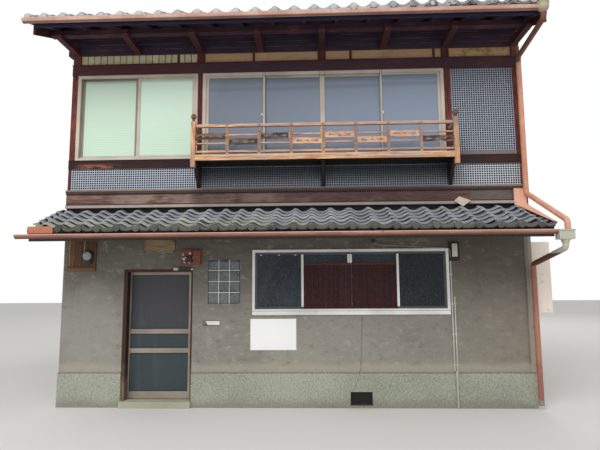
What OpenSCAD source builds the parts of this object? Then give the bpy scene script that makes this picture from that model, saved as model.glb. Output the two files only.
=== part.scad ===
// Two-storey timber townhouse with a tiled pent roof over the street, a shallow balcony and a sliding door.
// Origin on the ground at the centre of the walls. The street front faces -Y and +Z is up.

/* [House] */
// Width over the two party walls
house_w = 6760; // [6600:10:7000]
// Depth from the street face to the rear face
house_d = 7400; // [6800:20:8200]
// Thickness of every plastered wall
wall_t = 120; // [105:5:140]
// Thickness of the cladding on the right side wall
clad_t = 45; // [40:1:55]
// Height of the concrete plinth
plinth_h = 482; // [430:1:540]
// How far the plinth stands out of the wall
plinth_proud = 12; // [6:1:24]
// Distance of the vent in the plinth from the left wall
vent_x = 4190; // [4100:10:4300]
// Thickness of the ground floor slab
slab_t = 80; // [60:5:85]
// Height of the ground floor walls
wall_top = 2720; // [2690:5:2760]
// Height of the beam at the upper floor
floor_beam_h = 419; // [400:1:440]
// Thickness of the upper floor
floor_t = 150; // [100:5:180]
// Width of the upper posts
post_w = 115; // [100:5:125]
// Width of the right corner post
corner_w = 80; // [70:5:100]
// Width of a post's foot between the mosaic panels
foot_w = 50; // [40:2:60]
// Distance between the first and second posts
bay_1 = 1933; // [1880:1:1980]
// Distance between the second and third posts
bay_2 = 1852; // [1800:1:1900]
// Distance between the third and fourth posts
bay_3 = 1858; // [1810:1:1890]

/* [Upper front] */
// Height of the mosaic strip under the windows
strip_h = 329; // [300:1:360]
// Depth that the mosaic lies behind the posts
mosaic_set = 12; // [5:1:25]
// Thickness of the mosaic panels
mosaic_t = 90; // [60:5:95]
// Height of the sill beam under the windows
sill_h = 132; // [120:1:150]
// How far the sill board stands out of the posts
sill_proud = 10; // [6:1:11]
// Extra height of the sill under the right panel
sill_step = 54; // [30:1:70]
// Height of the upper windows
window_h = 1330; // [1280:5:1400]
// Height of the head beam over the windows
head_h = 170; // [150:1:190]
// How far the head board stands out of the posts
head_proud = 15; // [10:1:20]
// Height and extra reach of the ledge on the head board
ledge_h = 15; // [10:1:20]
// Height of the frieze over the head beam
frieze_h = 160; // [150:1:180]
// Thickness of the frieze panels
frieze_t = 60; // [40:5:80]
// Depth that the frieze lies behind the posts
frieze_set = 22; // [10:1:35]
// Width of the thin studs in the frieze
stud_w = 35; // [25:1:45]
// Height of the rain board over the pent roof, with its lips
rain_h = 275; // [240:1:285]
// Thickness of the rain board
rain_t = 24; // [15:1:35]
// Reach of the lips on the rain board
rain_lip = 25; // [15:1:30]
// Height of the lip along the top of the rain board
rain_top = 62; // [40:1:70]
// Height of the lip along the foot of the rain board
rain_foot = 40; // [30:1:50]

/* [Upper windows] */
// Face width of the frames' sides
upper_side = 30; // [24:1:40]
// Width of the sashes' stiles
upper_stile = 40; // [34:1:46]
// Lap of the frames over the posts
flange = 20; // [10:1:24]
// Thickness of the frames' flange
flange_t = 12; // [8:1:16]

/* [Main roof] */
// Rise of the main roof for each unit of run
roof_rise = 0.40; // [0.36:0.01:0.45]
// How far the eave boards reach over the walls
eave_out = 920; // [860:5:960]
// Reach of the eave purlin from the wall
purlin_out = 490; // [440:5:540]
// Width of the eave purlins
purlin_w = 110; // [90:5:130]
// Height of the eave purlins
purlin_h = 95; // [80:5:110]
// Height of the eave purlins over the frieze
purlin_lift = 52; // [40:1:60]
// Width of the bracket arms
arm_w = 90; // [70:5:100]
// Height of the bracket arms
arm_h = 100; // [80:5:110]
// Depth of the notch where an arm enters the purlin
arm_notch = 48; // [42:1:52]
// Length of an arm beyond the purlin
arm_nose = 50; // [30:5:80]
// Number of rafters on each slope
rafter_n = 16; // [12:1:20]
// Width of the rafters
rafter_w = 45; // [35:1:60]
// Upright height of the rafters
rafter_h = 72; // [60:1:80]
// Upright thickness of the pent roof's boards
board_t = 16; // [12:1:24]
// Upright thickness of the main roof's boards and the bed under its tiles
bed_t = 72; // [60:1:80]
// Upright thickness of the tile layer
tile_t = 92; // [80:1:96]
// Height of the rolls on the tiles
tile_roll = 60; // [45:1:66]
// Width of a column of tiles on the main roof
tile_w = 262.7; // [240:0.1:280]
// Distance of the first roll from the left wall's outer face
tile_start = 62; // [0:1:200]
// Reach of the tiles beyond the roof boards
tile_lip = 40; // [20:1:60]
// Reach of the roof beyond the left party wall
verge_l = 110; // [80:5:160]
// Reach of the tiles beyond the left bargeboard
tile_over = 85; // [40:5:100]
// Reach of the roof beyond the right party wall
verge_r = 40; // [35:1:60]
// Thickness of the bargeboards
barge_t = 28; // [20:1:40]
// Upright height of the bargeboards
barge_h = 172; // [165:1:220]
// Thickness of the eave board
fascia_t = 22; // [15:1:30]
// Width of the ridge beam
ridge_beam_w = 120; // [100:5:150]
// Height of the ridge beam under the rafters
ridge_beam_h = 140; // [110:5:180]
// Width of the ridge tiles
ridge_w = 230; // [200:5:280]
// Height of the ridge tiles
ridge_h = 210; // [160:5:260]

/* [Pent roof] */
// Rise of the pent roof for each unit of run
pent_rise = 0.42; // [0.38:0.005:0.46]
// Reach of the pent roof beyond the left wall
pent_l = 60; // [0:5:90]
// Reach of the pent roof boards from the wall
pent_out = 830; // [780:5:880]
// Width of a column of tiles on the pent roof
pent_tile_w = 259.5; // [240:0.5:280]
// Distance of the pent roof's first full roll from the left wall's outer face
pent_tile_start = 344; // [250:1:450]
// Gap between the tiles and the rain board over them
pent_gap = 2; // [1:1:10]
// Upright height of the pent rafters
pent_rafter_h = 48; // [40:1:56]
// Number of pent rafters
pent_rafter_n = 16; // [10:1:20]
// Upright height of the pent roof's face board
pent_fascia_h = 100; // [80:1:110]
// Length of the orange flashing at the left end
flash_l = 340; // [250:5:420]
// Width of the metal flashing at the wall, on the right verge
flash_wall = 176; // [120:2:200]
// Width of the metal flashing at the eave
flash_eave = 24; // [16:2:60]
// Thickness of the metal flashing
flash_t = 5; // [3:1:8]

/* [Gutters] */
// Radius of the gutters
gutter_r = 50; // [46:1:58]
// Thickness of the gutters' metal
gutter_t = 4; // [3:1:6]
// Number of straps that hold a gutter
strap_n = 8; // [5:1:12]
// Reach of the upper gutters beyond the left bargeboard
gutter_over = 110; // [90:5:130]
// Radius of the downpipes
pipe_r = 37; // [30:1:42]
// Reach of the lower gutter beyond the left wall
low_gutter_l = 200; // [100:5:260]
// Width of the lower rain hopper
hopper_w = 190; // [170:5:210]
// Depth of the lower rain hopper
hopper_d = 125; // [110:5:140]
// Height of the lower rain hopper
hopper_h = 122; // [100:2:140]
// Radius of the round upper hopper
bulb_r = 72; // [64:1:80]

/* [Entrance] */
// Distance of the doorway from the left wall
door_x = 911; // [880:1:940]
// Width of the doorway between the walls
door_w = 1018; // [990:1:1040]
// Height of the doorway
door_h = 1955; // [1900:1:1990]
// Width of the left door jamb
jamb_w = 55; // [45:1:65]
// Width of the right door jamb
jamb_r = 25; // [24:1:50]
// Height of the door's head piece
door_head_h = 40; // [34:1:60]
// Height of the concrete threshold
threshold_h = 87; // [86:1:110]
// Reach of the threshold in front of the wall
threshold_out = 60; // [30:5:90]
// Thickness of the door leaf
leaf_t = 33; // [28:1:40]
// Overlap of the leaf behind each jamb
leaf_lap = 22; // [15:1:30]
// Width of the leaf's left stile
leaf_stile = 42; // [36:1:52]
// Width of the leaf's closing stile beside the right jamb
lock_stile = 82; // [60:1:95]
// Gap between the leaf and the pieces beside it
leaf_gap = 6; // [5:1:9]
// Travel of the door leaf
leaf_travel = 880; // [600:10:880]

// Distance of the letter slot from the left wall
slot_x = 2087; // [2060:1:2120]

/* [Ground floor window] */
// Distance of the glass blocks from the left wall
block_x = 2150; // [2110:1:2180]
// Distance of the window from the left wall
gwin_x = 2800; // [2780:1:2850]
// Width of the window
gwin_w = 2825; // [2780:1:2860]
// Height of the window's underside
gwin_z = 1285; // [1240:1:1320]
// Height of the window
gwin_h = 937; // [900:1:970]
// Face width of the window's frame
gwin_frame = 38; // [30:1:46]
// Height of the window's sill piece
gwin_sill = 84; // [60:1:95]
// Width of the window's sash stiles
gwin_stile = 32; // [26:1:40]
// Reach of the window's frame in front of the wall
gwin_proud = 18; // [10:1:30]
// Drop of the reed screen under the window's head
reed_drop = 120; // [80:5:160]

/* [Balcony] */
// Reach of the railing's centre from the wall
rail_out = 320; // [290:5:350]
// Number of bays in the railing
rail_bays = 8; // [6:1:10]
// Width of the newel posts
newel_w = 64; // [56:1:70]
// Distance of the left newel's centre beyond the second post's
newel_over_l = 12; // [6:1:18]
// Distance of the right newel's centre beyond the fourth post's
newel_over_r = 24; // [10:1:28]
// Reach of the newels under the balcony beam
newel_drop = 88; // [60:2:110]
// Height of the newels over the top rail
newel_rise = 40; // [30:1:60]
// Radius of the knobs on the newels
knob_r = 40; // [34:1:44]
// Width of the brackets under the balcony
bracket_w = 50; // [40:2:60]
// Height of the balcony beam's underside over the mosaic strip
deck_drop = 13; // [8:1:20]
// Height of the balcony beam
deck_beam_h = 87; // [80:1:110]
// Gap between the balcony beam and the low rail
rail_gap = 32; // [20:1:40]
// Height of the railing over the balcony beam
rail_h = 447; // [430:1:470]
// Height of the top rail
top_rail_h = 40; // [32:1:50]
// Width of the balusters along the railing
baluster_w = 44; // [36:1:50]
// Depth of the balusters
baluster_t = 30; // [24:1:36]
// Height of the pierced boards
pierced_h = 86; // [76:1:88]
// Thickness of the pierced boards
pierced_t = 12; // [8:1:16]
// Gap between a pierced board and what it stands between
board_slack = 0.4; // [0.3:0.1:1]
// Height of the high boards' centre over the balcony beam
board_high = 272; // [262:1:284]
// Height of the low boards' centre over the balcony beam
board_low = 192; // [182:1:202]
// Height of the high thin rails over the balcony beam
thin_high = 291; // [284:1:300]
// Height of the low thin rails over the balcony beam
thin_low = 169; // [160:1:176]

/* [Hidden] */

// Faces and levels of the house
left = -house_w / 2;
right = house_w / 2;
front = -house_d / 2;
rear = house_d / 2;
z_beam = wall_top;
z_strip = z_beam + floor_beam_h;
z_sill = z_strip + strip_h;
z_window = z_sill + sill_h;
z_head = z_window + window_h;
z_frieze = z_head + head_h;
z_plate = z_frieze + frieze_h;
beam_d = wall_t;

// Centres of the five upper posts, and each post as its two edges
post_1 = left + post_w / 2;
post_2 = post_1 + bay_1;
post_3 = post_2 + bay_2;
post_4 = post_3 + bay_3;
post_5 = right - corner_w / 2;
function edges(x, w) = [x - w / 2, x + w / 2];
tall_posts = [edges(post_1, post_w), edges(post_2, post_w), edges(post_4, post_w), edges(post_5, corner_w)];
short_post = edges(post_3, post_w);
frieze_posts = [tall_posts[0], tall_posts[1], short_post, tall_posts[2], tall_posts[3]];
corner_foot = 36;
short_foot = edges(post_3, foot_w);
tall_feet = [
    [left, left + corner_foot], edges(post_2, foot_w), edges(post_4, foot_w), [right - corner_foot, right]
];
feet = [tall_feet[0], tall_feet[1], short_foot, tall_feet[2], tall_feet[3]];
arm_places = [post_1, (post_1 + post_2) / 2, post_2, (post_2 + post_3) / 2, post_3,
              (post_3 + post_4) / 2, post_4, post_5];

// Heights of the roof layers at a distance y from the middle of the house
z_purlin = z_plate + purlin_lift;
function rafter_z(y) = z_purlin + purlin_h + (house_d / 2 + purlin_out - abs(y)) * roof_rise;
function board_z(y) = rafter_z(y) + rafter_h;
function tile_z(y) = board_z(y) + bed_t;
roof_left = left - verge_l;
roof_right = right + verge_r;
eave_y = house_d / 2 + eave_out;

// Heights of the pent roof's layers at a distance e in front of the wall
pent_top = z_strip - rain_h - pent_gap;
function pent_tile_z(e) = pent_top - tile_t - e * pent_rise;
function pent_board_z(e) = pent_tile_z(e) - board_t;
function pent_rafter_z(e) = pent_board_z(e) - pent_rafter_h;

// Box between two corners
module box(low, high) {
    translate(low) cube(high - low);
}

// Outline in Y and Z drawn out along X
module along_x(x0, x1, outline) {
    translate([x0, 0, 0]) rotate([90, 0, 90]) linear_extrude(x1 - x0) polygon(outline);
}

// The same piece at the street side and at the rear
module both_sides() {
    children();
    mirror([0, 1, 0]) children();
}

// Plinth
plinth_in = wall_t + plinth_proud;
door_left = left + door_x;
door_right = door_left + door_w;
vent_left = left + vent_x;
vent_w = 308;
vent_z = 33;
vent_h = 184;

module plinth_front() {
    color("#86897c") {
        box([left - plinth_proud, front - plinth_proud, 0], [door_left, front + wall_t, plinth_h]);
        difference() {
            box([door_right, front - plinth_proud, 0], [right + plinth_proud, front + wall_t, plinth_h]);
            box([vent_left, front - plinth_in, vent_z],
                [vent_left + vent_w, front + plinth_in, vent_z + vent_h]);
        }
        translate([0, 0, vent_z]) vent_bars();
    }
}

// Upright bars in the foundation vent
bar_n = 13;
bar_w = 8;
module vent_bars() {
    pitch = vent_w / bar_n;
    for (i = [0 : bar_n - 1])
        translate([vent_left + (i + 0.5) * pitch - bar_w / 2, front, -1]) cube([bar_w, bar_w, vent_h + 2]);
}

module plinth_sides() {
    color("#86897c") {
        box([left - plinth_proud, front + wall_t, 0], [left + wall_t, rear - wall_t, plinth_h]);
        box([right - wall_t, front + wall_t, 0], [right + plinth_proud, rear - wall_t, plinth_h]);
        box([left - plinth_proud, rear - wall_t, 0], [right + plinth_proud, rear + plinth_proud, plinth_h]);
    }
}

module ground_slab() {
    color("#8f8b80")
        box([left + wall_t, front + wall_t, 0], [right - wall_t, rear - wall_t, slab_t]);
}

module threshold() {
    color("#b5b09a")
        box([door_left, front - threshold_out, 0], [door_right, front + wall_t, threshold_h]);
}

// Ground floor walls
gwin_left = left + gwin_x;
gwin_right = gwin_left + gwin_w;
gwin_top = gwin_z + gwin_h;
block_pitch_x = 156;
block_pitch_z = 160;
block_cols = 3;
block_rows = 4;
blocks_left = left + block_x;
blocks_z = 1448;
blocks_w = block_cols * block_pitch_x;
blocks_h = block_rows * block_pitch_z;
slot_left = left + slot_x;
slot_w = 241;
slot_z = 1146;
slot_h = 60;
slot_edge = 15;

module front_wall_left() {
    color("#6e6a62") box([left, front, plinth_h], [door_left, front + wall_t, wall_top]);
}

module front_wall_right() {
    color("#6e6a62") difference() {
        box([door_right, front, plinth_h], [right, front + wall_t, wall_top]);
        box([gwin_left, front - 1, gwin_z], [gwin_right, front + wall_t + 1, gwin_top]);
        box([blocks_left, front - 1, blocks_z],
            [blocks_left + blocks_w, front + wall_t + 1, blocks_z + blocks_h]);
        box([slot_left + slot_edge, front - 1, slot_z + slot_edge],
            [slot_left + slot_w - slot_edge, front + wall_t + 1, slot_z + slot_h - slot_edge]);
    }
}

module wall_over_door() {
    color("#4c443d") box([door_left, front, door_h], [door_right, front + wall_t, wall_top]);
}

module party_wall(x) {
    inner = rear - wall_t;
    hole = ridge_beam_w / 2;
    difference() {
        along_x(x, x + wall_t, [
            [-inner, plinth_h], [inner, plinth_h], [inner, rafter_z(inner)], [0, rafter_z(0)],
            [-inner, rafter_z(inner)]
        ]);
        box([x - 1, -hole, rafter_z(hole) - ridge_beam_h], [x + wall_t + 1, hole, rafter_z(0) + 1]);
    }
}

module party_walls() {
    color("#7a756b") {
        party_wall(left);
        party_wall(right - wall_t);
    }
}

// Rear windows, one on each storey
rwin_w = 1700;
rwin_h = 930;
rwin_frame = 45;
rwin_low = gwin_z;
rwin_high = z_window;
rwin_set = 10;
rwin_depth = 80;
module rear_hole(z) {
    box([-rwin_w / 2, rear - wall_t - 1, z], [rwin_w / 2, rear + 1, z + rwin_h]);
}

module rear_wall() {
    color("#7a756b") difference() {
        box([left, rear - wall_t, plinth_h], [right, rear, z_plate]);
        rear_hole(rwin_low);
        rear_hole(rwin_high);
    }
}

// Cladding on the right side wall, cut round the ends of the beams
module side_cladding() {
    x0 = right;
    x1 = right + clad_t;
    hole = ridge_beam_w / 2;
    color("#a39a8c") difference() {
        along_x(x0, x1, [
            [front, plinth_h], [rear, plinth_h], [rear, board_z(rear) - barge_h], [0, board_z(0) - barge_h],
            [front, board_z(front) - barge_h]
        ]);
        both_sides() box([x0 - 1, front - 1, z_plate], [x1 + 1, front + beam_d, board_z(0)]);
        box([x0 - 1, -hole, rafter_z(hole) - ridge_beam_h], [x1 + 1, hole, board_z(0)]);
    }
}

// Beams of the street front: at the upper floor, under the windows and over them
module front_beam(z0, z1) {
    for (i = [0 : 2])
        box([tall_posts[i][1], front, z0], [tall_posts[i + 1][0], front + beam_d, z1]);
}

module front_beams() {
    board_top = z_frieze - ledge_h;
    right_bay = tall_posts[2][1];
    color("#4a1d18") {
        box([left, front, z_beam], [right, front + beam_d, z_strip]);
        union() {
            front_beam(z_sill, z_window);
            box([left, front - sill_proud, z_sill], [right, front, z_window]);
            box([right_bay, front - sill_proud, z_window],
                [tall_posts[3][0], front + beam_d, z_window + sill_step]);
        }
        union() {
            front_beam(z_head, z_frieze);
            box([left, front - head_proud, z_head], [right, front, board_top]);
            box([left, front - head_proud - ledge_h, board_top], [right, front, z_frieze]);
        }
    }
}

module upper_floor() {
    color("#7d5a40")
        box([left + wall_t, front + wall_t, z_strip - floor_t], [right - wall_t, rear - wall_t, z_strip]);
}

// Posts of the upper front on narrow feet beside the mosaic, and thin studs on the frieze
stud_t = 14;
stud_places = [post_2 - 350, post_3 - 1040, post_3 + 438, post_4 - 166];
module upper_post(p, foot) {
    union() {
        box([p[0], front, z_sill], [p[1], front + beam_d, z_plate]);
        box([foot[0], front, z_strip], [foot[1], front + beam_d, z_sill]);
    }
}

module upper_posts() {
    color("#4a1d18") {
        for (i = [0 : 3])
            upper_post(tall_posts[i], tall_feet[i]);
        box([short_post[0], front, z_frieze], [short_post[1], front + beam_d, z_plate]);
        box([short_foot[0], front, z_strip], [short_foot[1], front + beam_d, z_sill]);
        for (x = stud_places)
            box([x - stud_w / 2, front + frieze_set - stud_t, z_frieze],
                [x + stud_w / 2, front + frieze_set, z_plate]);
    }
}

// Panel between two posts or feet
module infill(a, b, z0, z1, set, depth) {
    box([a[1], front + set, z0], [b[0], front + set + depth, z1]);
}

module frieze_panels() {
    color("#a98d55")
        for (i = [0 : 3])
            infill(frieze_posts[i], frieze_posts[i + 1], z_frieze, z_plate, frieze_set, frieze_t);
}

module mosaic_panels() {
    color("#3f4a5a") {
        for (i = [0 : 3])
            infill(feet[i], feet[i + 1], z_strip, z_sill, mosaic_set, mosaic_t);
        infill(tall_posts[2], tall_posts[3], z_window + sill_step, z_head, mosaic_set, mosaic_t);
    }
}

// Rain board on the floor beam, with a lip along its top and foot
module rain_board() {
    low = z_strip - rain_h;
    color("#6b5048") union() {
        box([left, front - rain_t, low], [right, front, z_strip]);
        box([left, front - rain_t - rain_lip, z_strip - rain_top], [right, front - rain_t, z_strip]);
        box([left, front - rain_t - rain_lip, low], [right, front - rain_t, low + rain_foot]);
    }
}

// Timber under the main roof
module plate_beams() {
    color("#3a2530") both_sides() along_x(roof_left + barge_t, roof_right - barge_t, [
        [front, z_plate], [front + beam_d, z_plate],
        [front + beam_d, rafter_z(front + beam_d)], [front, rafter_z(front)]
    ]);
}

// Arm that carries the eave purlin, with its nose cut back underneath
arm_z = z_purlin + arm_notch - arm_h;
arm_bevel = 32;
module bracket_arms() {
    reach = purlin_out + purlin_w / 2 + arm_nose;
    color("#4a2328") both_sides() for (x = arm_places)
        along_x(x - arm_w / 2, x + arm_w / 2, [
            [front, arm_z], [front - reach + arm_bevel, arm_z], [front - reach, arm_z + arm_bevel],
            [front - reach, arm_z + arm_h], [front, arm_z + arm_h]
        ]);
}

module eave_purlins() {
    near = front - purlin_out + purlin_w / 2;
    far = front - purlin_out - purlin_w / 2;
    color("#4a2328") both_sides() difference() {
        along_x(roof_left + barge_t, roof_right - barge_t, [
            [far, z_purlin], [near, z_purlin], [near, rafter_z(near)], [far, rafter_z(far)]
        ]);
        for (x = arm_places)
            box([x - arm_w / 2, far - 1, z_purlin - 1], [x + arm_w / 2, near + 1, arm_z + arm_h]);
    }
}

module ridge_beam() {
    half = ridge_beam_w / 2;
    color("#4a2328") along_x(roof_left + barge_t, roof_right - barge_t, [
        [-half, rafter_z(half) - ridge_beam_h], [half, rafter_z(half) - ridge_beam_h],
        [half, board_z(half)], [0, board_z(0)], [-half, board_z(half)]
    ]);
}

module rafters() {
    first = left + wall_t / 2;
    pitch = (house_w - wall_t) / (rafter_n - 1);
    low = -eave_y + fascia_t;
    high = -ridge_beam_w / 2;
    color("#4a2328") both_sides() for (i = [0 : rafter_n - 1])
        along_x(first + i * pitch - rafter_w / 2, first + i * pitch + rafter_w / 2, [
            [low, rafter_z(low)], [high, rafter_z(high)], [high, board_z(high)], [low, board_z(low)]
        ]);
}

// Layer of the roof from its eave at y0 up to the ridge, between two surfaces
module slope_layer(x0, y0, low, high) {
    along_x(x0, roof_right, [[y0, low(y0)], [0, low(0)], [0, high(0)], [y0, high(y0)]]);
}

module roof_boards() {
    color("#3a2530")
        both_sides() slope_layer(roof_left, -eave_y, function (y) board_z(y), function (y) tile_z(y));
}

// Tile layer with a flat underside and rolls that run up the slope, cut upright at y0 and y1
roll_points = 6;
roll_form = 1.3;
roll_margin = 0.05;
roll_tail = 60;
module rolled_layer(x0, x1, y0, y1, low, rise, first, pitch) {
    step = pitch / roll_points;
    k0 = ceil((x0 - first) / step + roll_margin);
    k1 = floor((x1 - first) / step - roll_margin);
    places = [x0, for (k = [k0 : k1]) first + k * step, x1];
    function dip(x) = tile_roll * (1 - pow(0.5 + 0.5 * cos(360 * (x - first) / pitch), roll_form));
    slope = atan(rise);
    length = (y1 - y0) / cos(slope) + 2 * roll_tail;
    intersection() {
        translate([0, y0, low(y0)]) rotate([slope, 0, 0]) translate([0, length - roll_tail, 0])
            rotate([90, 0, 0]) linear_extrude(length)
                polygon([[x1, -1], [x0, -1], for (x = places) [x, (tile_t - dip(x)) * cos(slope)]]);
        along_x(x0 - 1, x1 + 1, [[y0, low(y0)], [y1, low(y1)],
                                 [y1, low(y1) + tile_t + 1], [y0, low(y0) + tile_t + 1]]);
    }
}

// The rolls end against a flat bed under the ridge
module roof_tiles_front() {
    x0 = roof_left - tile_over;
    color("#5d6472") {
        rolled_layer(x0, roof_right, -eave_y - tile_lip, -ridge_w / 2,
                     function (y) tile_z(y), roof_rise, left + tile_start, tile_w);
        slope_layer(x0, -ridge_w / 2, function (y) tile_z(y), function (y) tile_z(y) + tile_t);
    }
}

module roof_tiles_rear() mirror([0, 1, 0]) roof_tiles_front();

// Stacked ridge courses that narrow upwards, under a round cap
ridge_foot = 40;
ridge_narrow = 0.72;
ridge_cap = 0.3;
module ridge_tiles() {
    half = ridge_w / 2;
    top = tile_z(0) + tile_t + ridge_h;
    cap_r = ridge_w * ridge_cap;
    x0 = roof_left - tile_over;
    color("#5d6472") union() {
        along_x(x0, roof_right, [
            [-half, tile_z(half) + tile_t], [0, tile_z(0) + tile_t], [half, tile_z(half) + tile_t],
            [half, tile_z(half) + tile_t + ridge_foot], [half * ridge_narrow, top - cap_r],
            [-half * ridge_narrow, top - cap_r], [-half, tile_z(half) + tile_t + ridge_foot]
        ]);
        translate([x0, 0, top - cap_r]) rotate([0, 90, 0]) cylinder(r = cap_r, h = roof_right - x0, $fn = 48);
    }
}

module barge() {
    along_x(0, barge_t, [
        [-eave_y, board_z(eave_y) - barge_h], [0, board_z(0) - barge_h], [eave_y, board_z(eave_y) - barge_h],
        [eave_y, board_z(eave_y)], [0, board_z(0)], [-eave_y, board_z(eave_y)]
    ]);
}

module bargeboards() {
    color("#3c1c20") {
        translate([roof_left, 0, 0]) barge();
        translate([roof_right - barge_t, 0, 0]) barge();
    }
}

module eave_boards() {
    color("#4a1d18") both_sides() along_x(roof_left + barge_t, roof_right - barge_t, [
        [-eave_y, board_z(eave_y) - rafter_h], [-eave_y + fascia_t, board_z(eave_y - fascia_t) - rafter_h],
        [-eave_y + fascia_t, board_z(eave_y - fascia_t)], [-eave_y, board_z(eave_y)]
    ]);
}

// Pent roof over the street
pent_left = left - pent_l;
pent_edge = front - pent_out;
pent_reach = pent_out + tile_lip;
module pent_layer(x0, x1, e0, e1, low, high) {
    along_x(x0, x1, [
        [front - e1, low(e1)], [front - e0, low(e0)], [front - e0, high(e0)], [front - e1, high(e1)]
    ]);
}

module pent_rafters() {
    first = left + rafter_w / 2;
    pitch = (house_w - rafter_w) / (pent_rafter_n - 1);
    color("#4a2328") {
        for (i = [0 : pent_rafter_n - 1])
            pent_layer(first + i * pitch - rafter_w / 2, first + i * pitch + rafter_w / 2,
                       0, pent_out - fascia_t, function (e) pent_rafter_z(e), function (e) pent_board_z(e));
        along_x(pent_left, right, [
            [pent_edge, pent_board_z(pent_out) - pent_fascia_h],
            [pent_edge + fascia_t, pent_board_z(pent_out) - pent_fascia_h],
            [pent_edge + fascia_t, pent_board_z(pent_out - fascia_t)], [pent_edge, pent_board_z(pent_out)]
        ]);
    }
}

module pent_boards() {
    color("#3a2530") pent_layer(pent_left, right, 0, pent_out,
                                function (e) pent_board_z(e), function (e) pent_tile_z(e));
}

module pent_tiles() {
    color("#7c8080")
        rolled_layer(pent_left, right, front - pent_reach, front,
                     function (y) pent_tile_z(front - y), pent_rise, left + pent_tile_start, pent_tile_w);
}

// Sheet metal over the right verge, wide at the wall and narrow at the eave, with an upstand on the
// rain board, a drop along the verge and a short piece at the left eave
module pent_flashing() {
    out = right + flash_t;
    up_e = rain_t + rain_lip;
    color("#cf9a86") {
        union() {
            intersection() {
                pent_layer(right - flash_wall, out, up_e, pent_reach,
                           function (e) pent_tile_z(e) + tile_t,
                           function (e) pent_tile_z(e) + tile_t + flash_t);
                linear_extrude(z_strip) polygon([
                    [out, front], [right - flash_wall, front],
                    [right - flash_eave, front - pent_reach], [out, front - pent_reach]
                ]);
            }
            pent_layer(right, out, 0, pent_out,
                       function (e) pent_board_z(e), function (e) pent_tile_z(e) + tile_t + flash_t);
            box([right - flash_wall, front - up_e - flash_t, pent_tile_z(up_e) + tile_t],
                [out, front - up_e, z_strip - rain_top]);
        }
        translate([0, -tile_lip - flash_t, 0])
            box([pent_left, pent_edge, pent_tile_z(pent_reach)],
                [pent_left + flash_l, pent_edge + flash_t, pent_tile_z(pent_reach) + tile_t]);
    }
}

// Half-round gutter with a rolled front edge, held to the eave board by straps
gutter_bead = 7;
strap_w = 20;
strap_h = 16;
module gutter(x0, x1, y, z, board_y) {
    mid = gutter_r - gutter_t / 2;
    translate([x0, y, z]) rotate([90, 0, 90]) linear_extrude(x1 - x0) union() {
        difference() {
            circle(gutter_r, $fn = 48);
            circle(gutter_r - gutter_t, $fn = 48);
            translate([-2 * gutter_r, 0]) square([4 * gutter_r, 2 * gutter_r]);
        }
        translate([-mid, 0]) circle(gutter_bead, $fn = 24);
    }
    pitch = (x1 - x0) / strap_n;
    for (i = [0 : strap_n - 1])
        box([x0 + (i + 0.5) * pitch - strap_w / 2, y + gutter_r - gutter_t, z - strap_h],
            [x0 + (i + 0.5) * pitch + strap_w / 2, board_y, z]);
}

gutter_gap = 10;
upper_gutter_y = -eave_y - gutter_r - gutter_gap;
upper_gutter_z = rafter_z(eave_y) + 85;
low_gutter_y = pent_edge - gutter_r - gutter_gap;
low_gutter_z = pent_board_z(pent_out) - 24;
hopper_wall = 5;
bulb_x = right - 32;
bulb_y = -eave_y - bulb_r - hopper_wall - 3;
hopper_x = right + 8 + hopper_w / 2;

// Upper gutter that ends round the drum of its hopper
module upper_gutter() {
    difference() {
        gutter(roof_left - gutter_over, bulb_x - bulb_r / 2, upper_gutter_y, upper_gutter_z, -eave_y);
        translate([bulb_x, bulb_y, upper_gutter_z - 2 * bulb_r])
            cylinder(r = bulb_r + 0.3, h = 4 * bulb_r, $fn = 64);
    }
}

module gutters() {
    color("#b07a64") {
        both_sides() upper_gutter();
        gutter(left - low_gutter_l, hopper_x - hopper_w / 2, low_gutter_y, low_gutter_z, pent_edge);
    }
}

// Route with each inner corner rounded off over a given length
function unit(v) = v / norm(v);
function corner(a, b, c, cut) = [
    for (t = [0 : 0.25 : 1])
        let (p = b + cut * unit(a - b), q = b + cut * unit(c - b))
        (1 - t) * (1 - t) * p + 2 * t * (1 - t) * b + t * t * q
];
function rounded(points, cut) = [
    points[0],
    for (i = [1 : len(points) - 2]) each corner(points[i - 1], points[i], points[i + 1], cut),
    points[len(points) - 1]
];

// Ring of a pipe where the direction d crosses the plane through p with the normal n
function ring(p, d, n, r) =
    let (across = unit(cross(d, [1, 0, 0])), up = cross(across, d))
    [for (k = [0 : pipe_sides - 1])
        let (a = k * 360 / pipe_sides, v = r * (across * cos(a) + up * sin(a)))
        p + v - d * (v * n) / (d * n)];

// Pipe swept along a route
pipe_sides = 16;
elbow_cut = 45;
module pipe_run(route, r) {
    path = rounded(route, elbow_cut);
    last = len(path) - 1;
    dirs = [for (i = [0 : last - 1]) unit(path[i + 1] - path[i])];
    rings = [
        ring(path[0], dirs[0], dirs[0], r),
        for (i = [1 : last - 1]) ring(path[i], dirs[i - 1], unit(dirs[i - 1] + dirs[i]), r),
        ring(path[last], dirs[last - 1], dirs[last - 1], r)
    ];
    sides = [
        for (i = [0 : last - 1], k = [0 : pipe_sides - 1])
            let (m = (k + 1) % pipe_sides, a = i * pipe_sides, b = a + pipe_sides)
            [a + k, a + m, b + m, b + k]
    ];
    foot = [for (k = [pipe_sides - 1 : -1 : 0]) k];
    head = [for (k = [0 : pipe_sides - 1]) last * pipe_sides + k];
    polyhedron([for (one = rings) each one], concat(sides, [foot, head]), convexity = 6);
}

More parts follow.
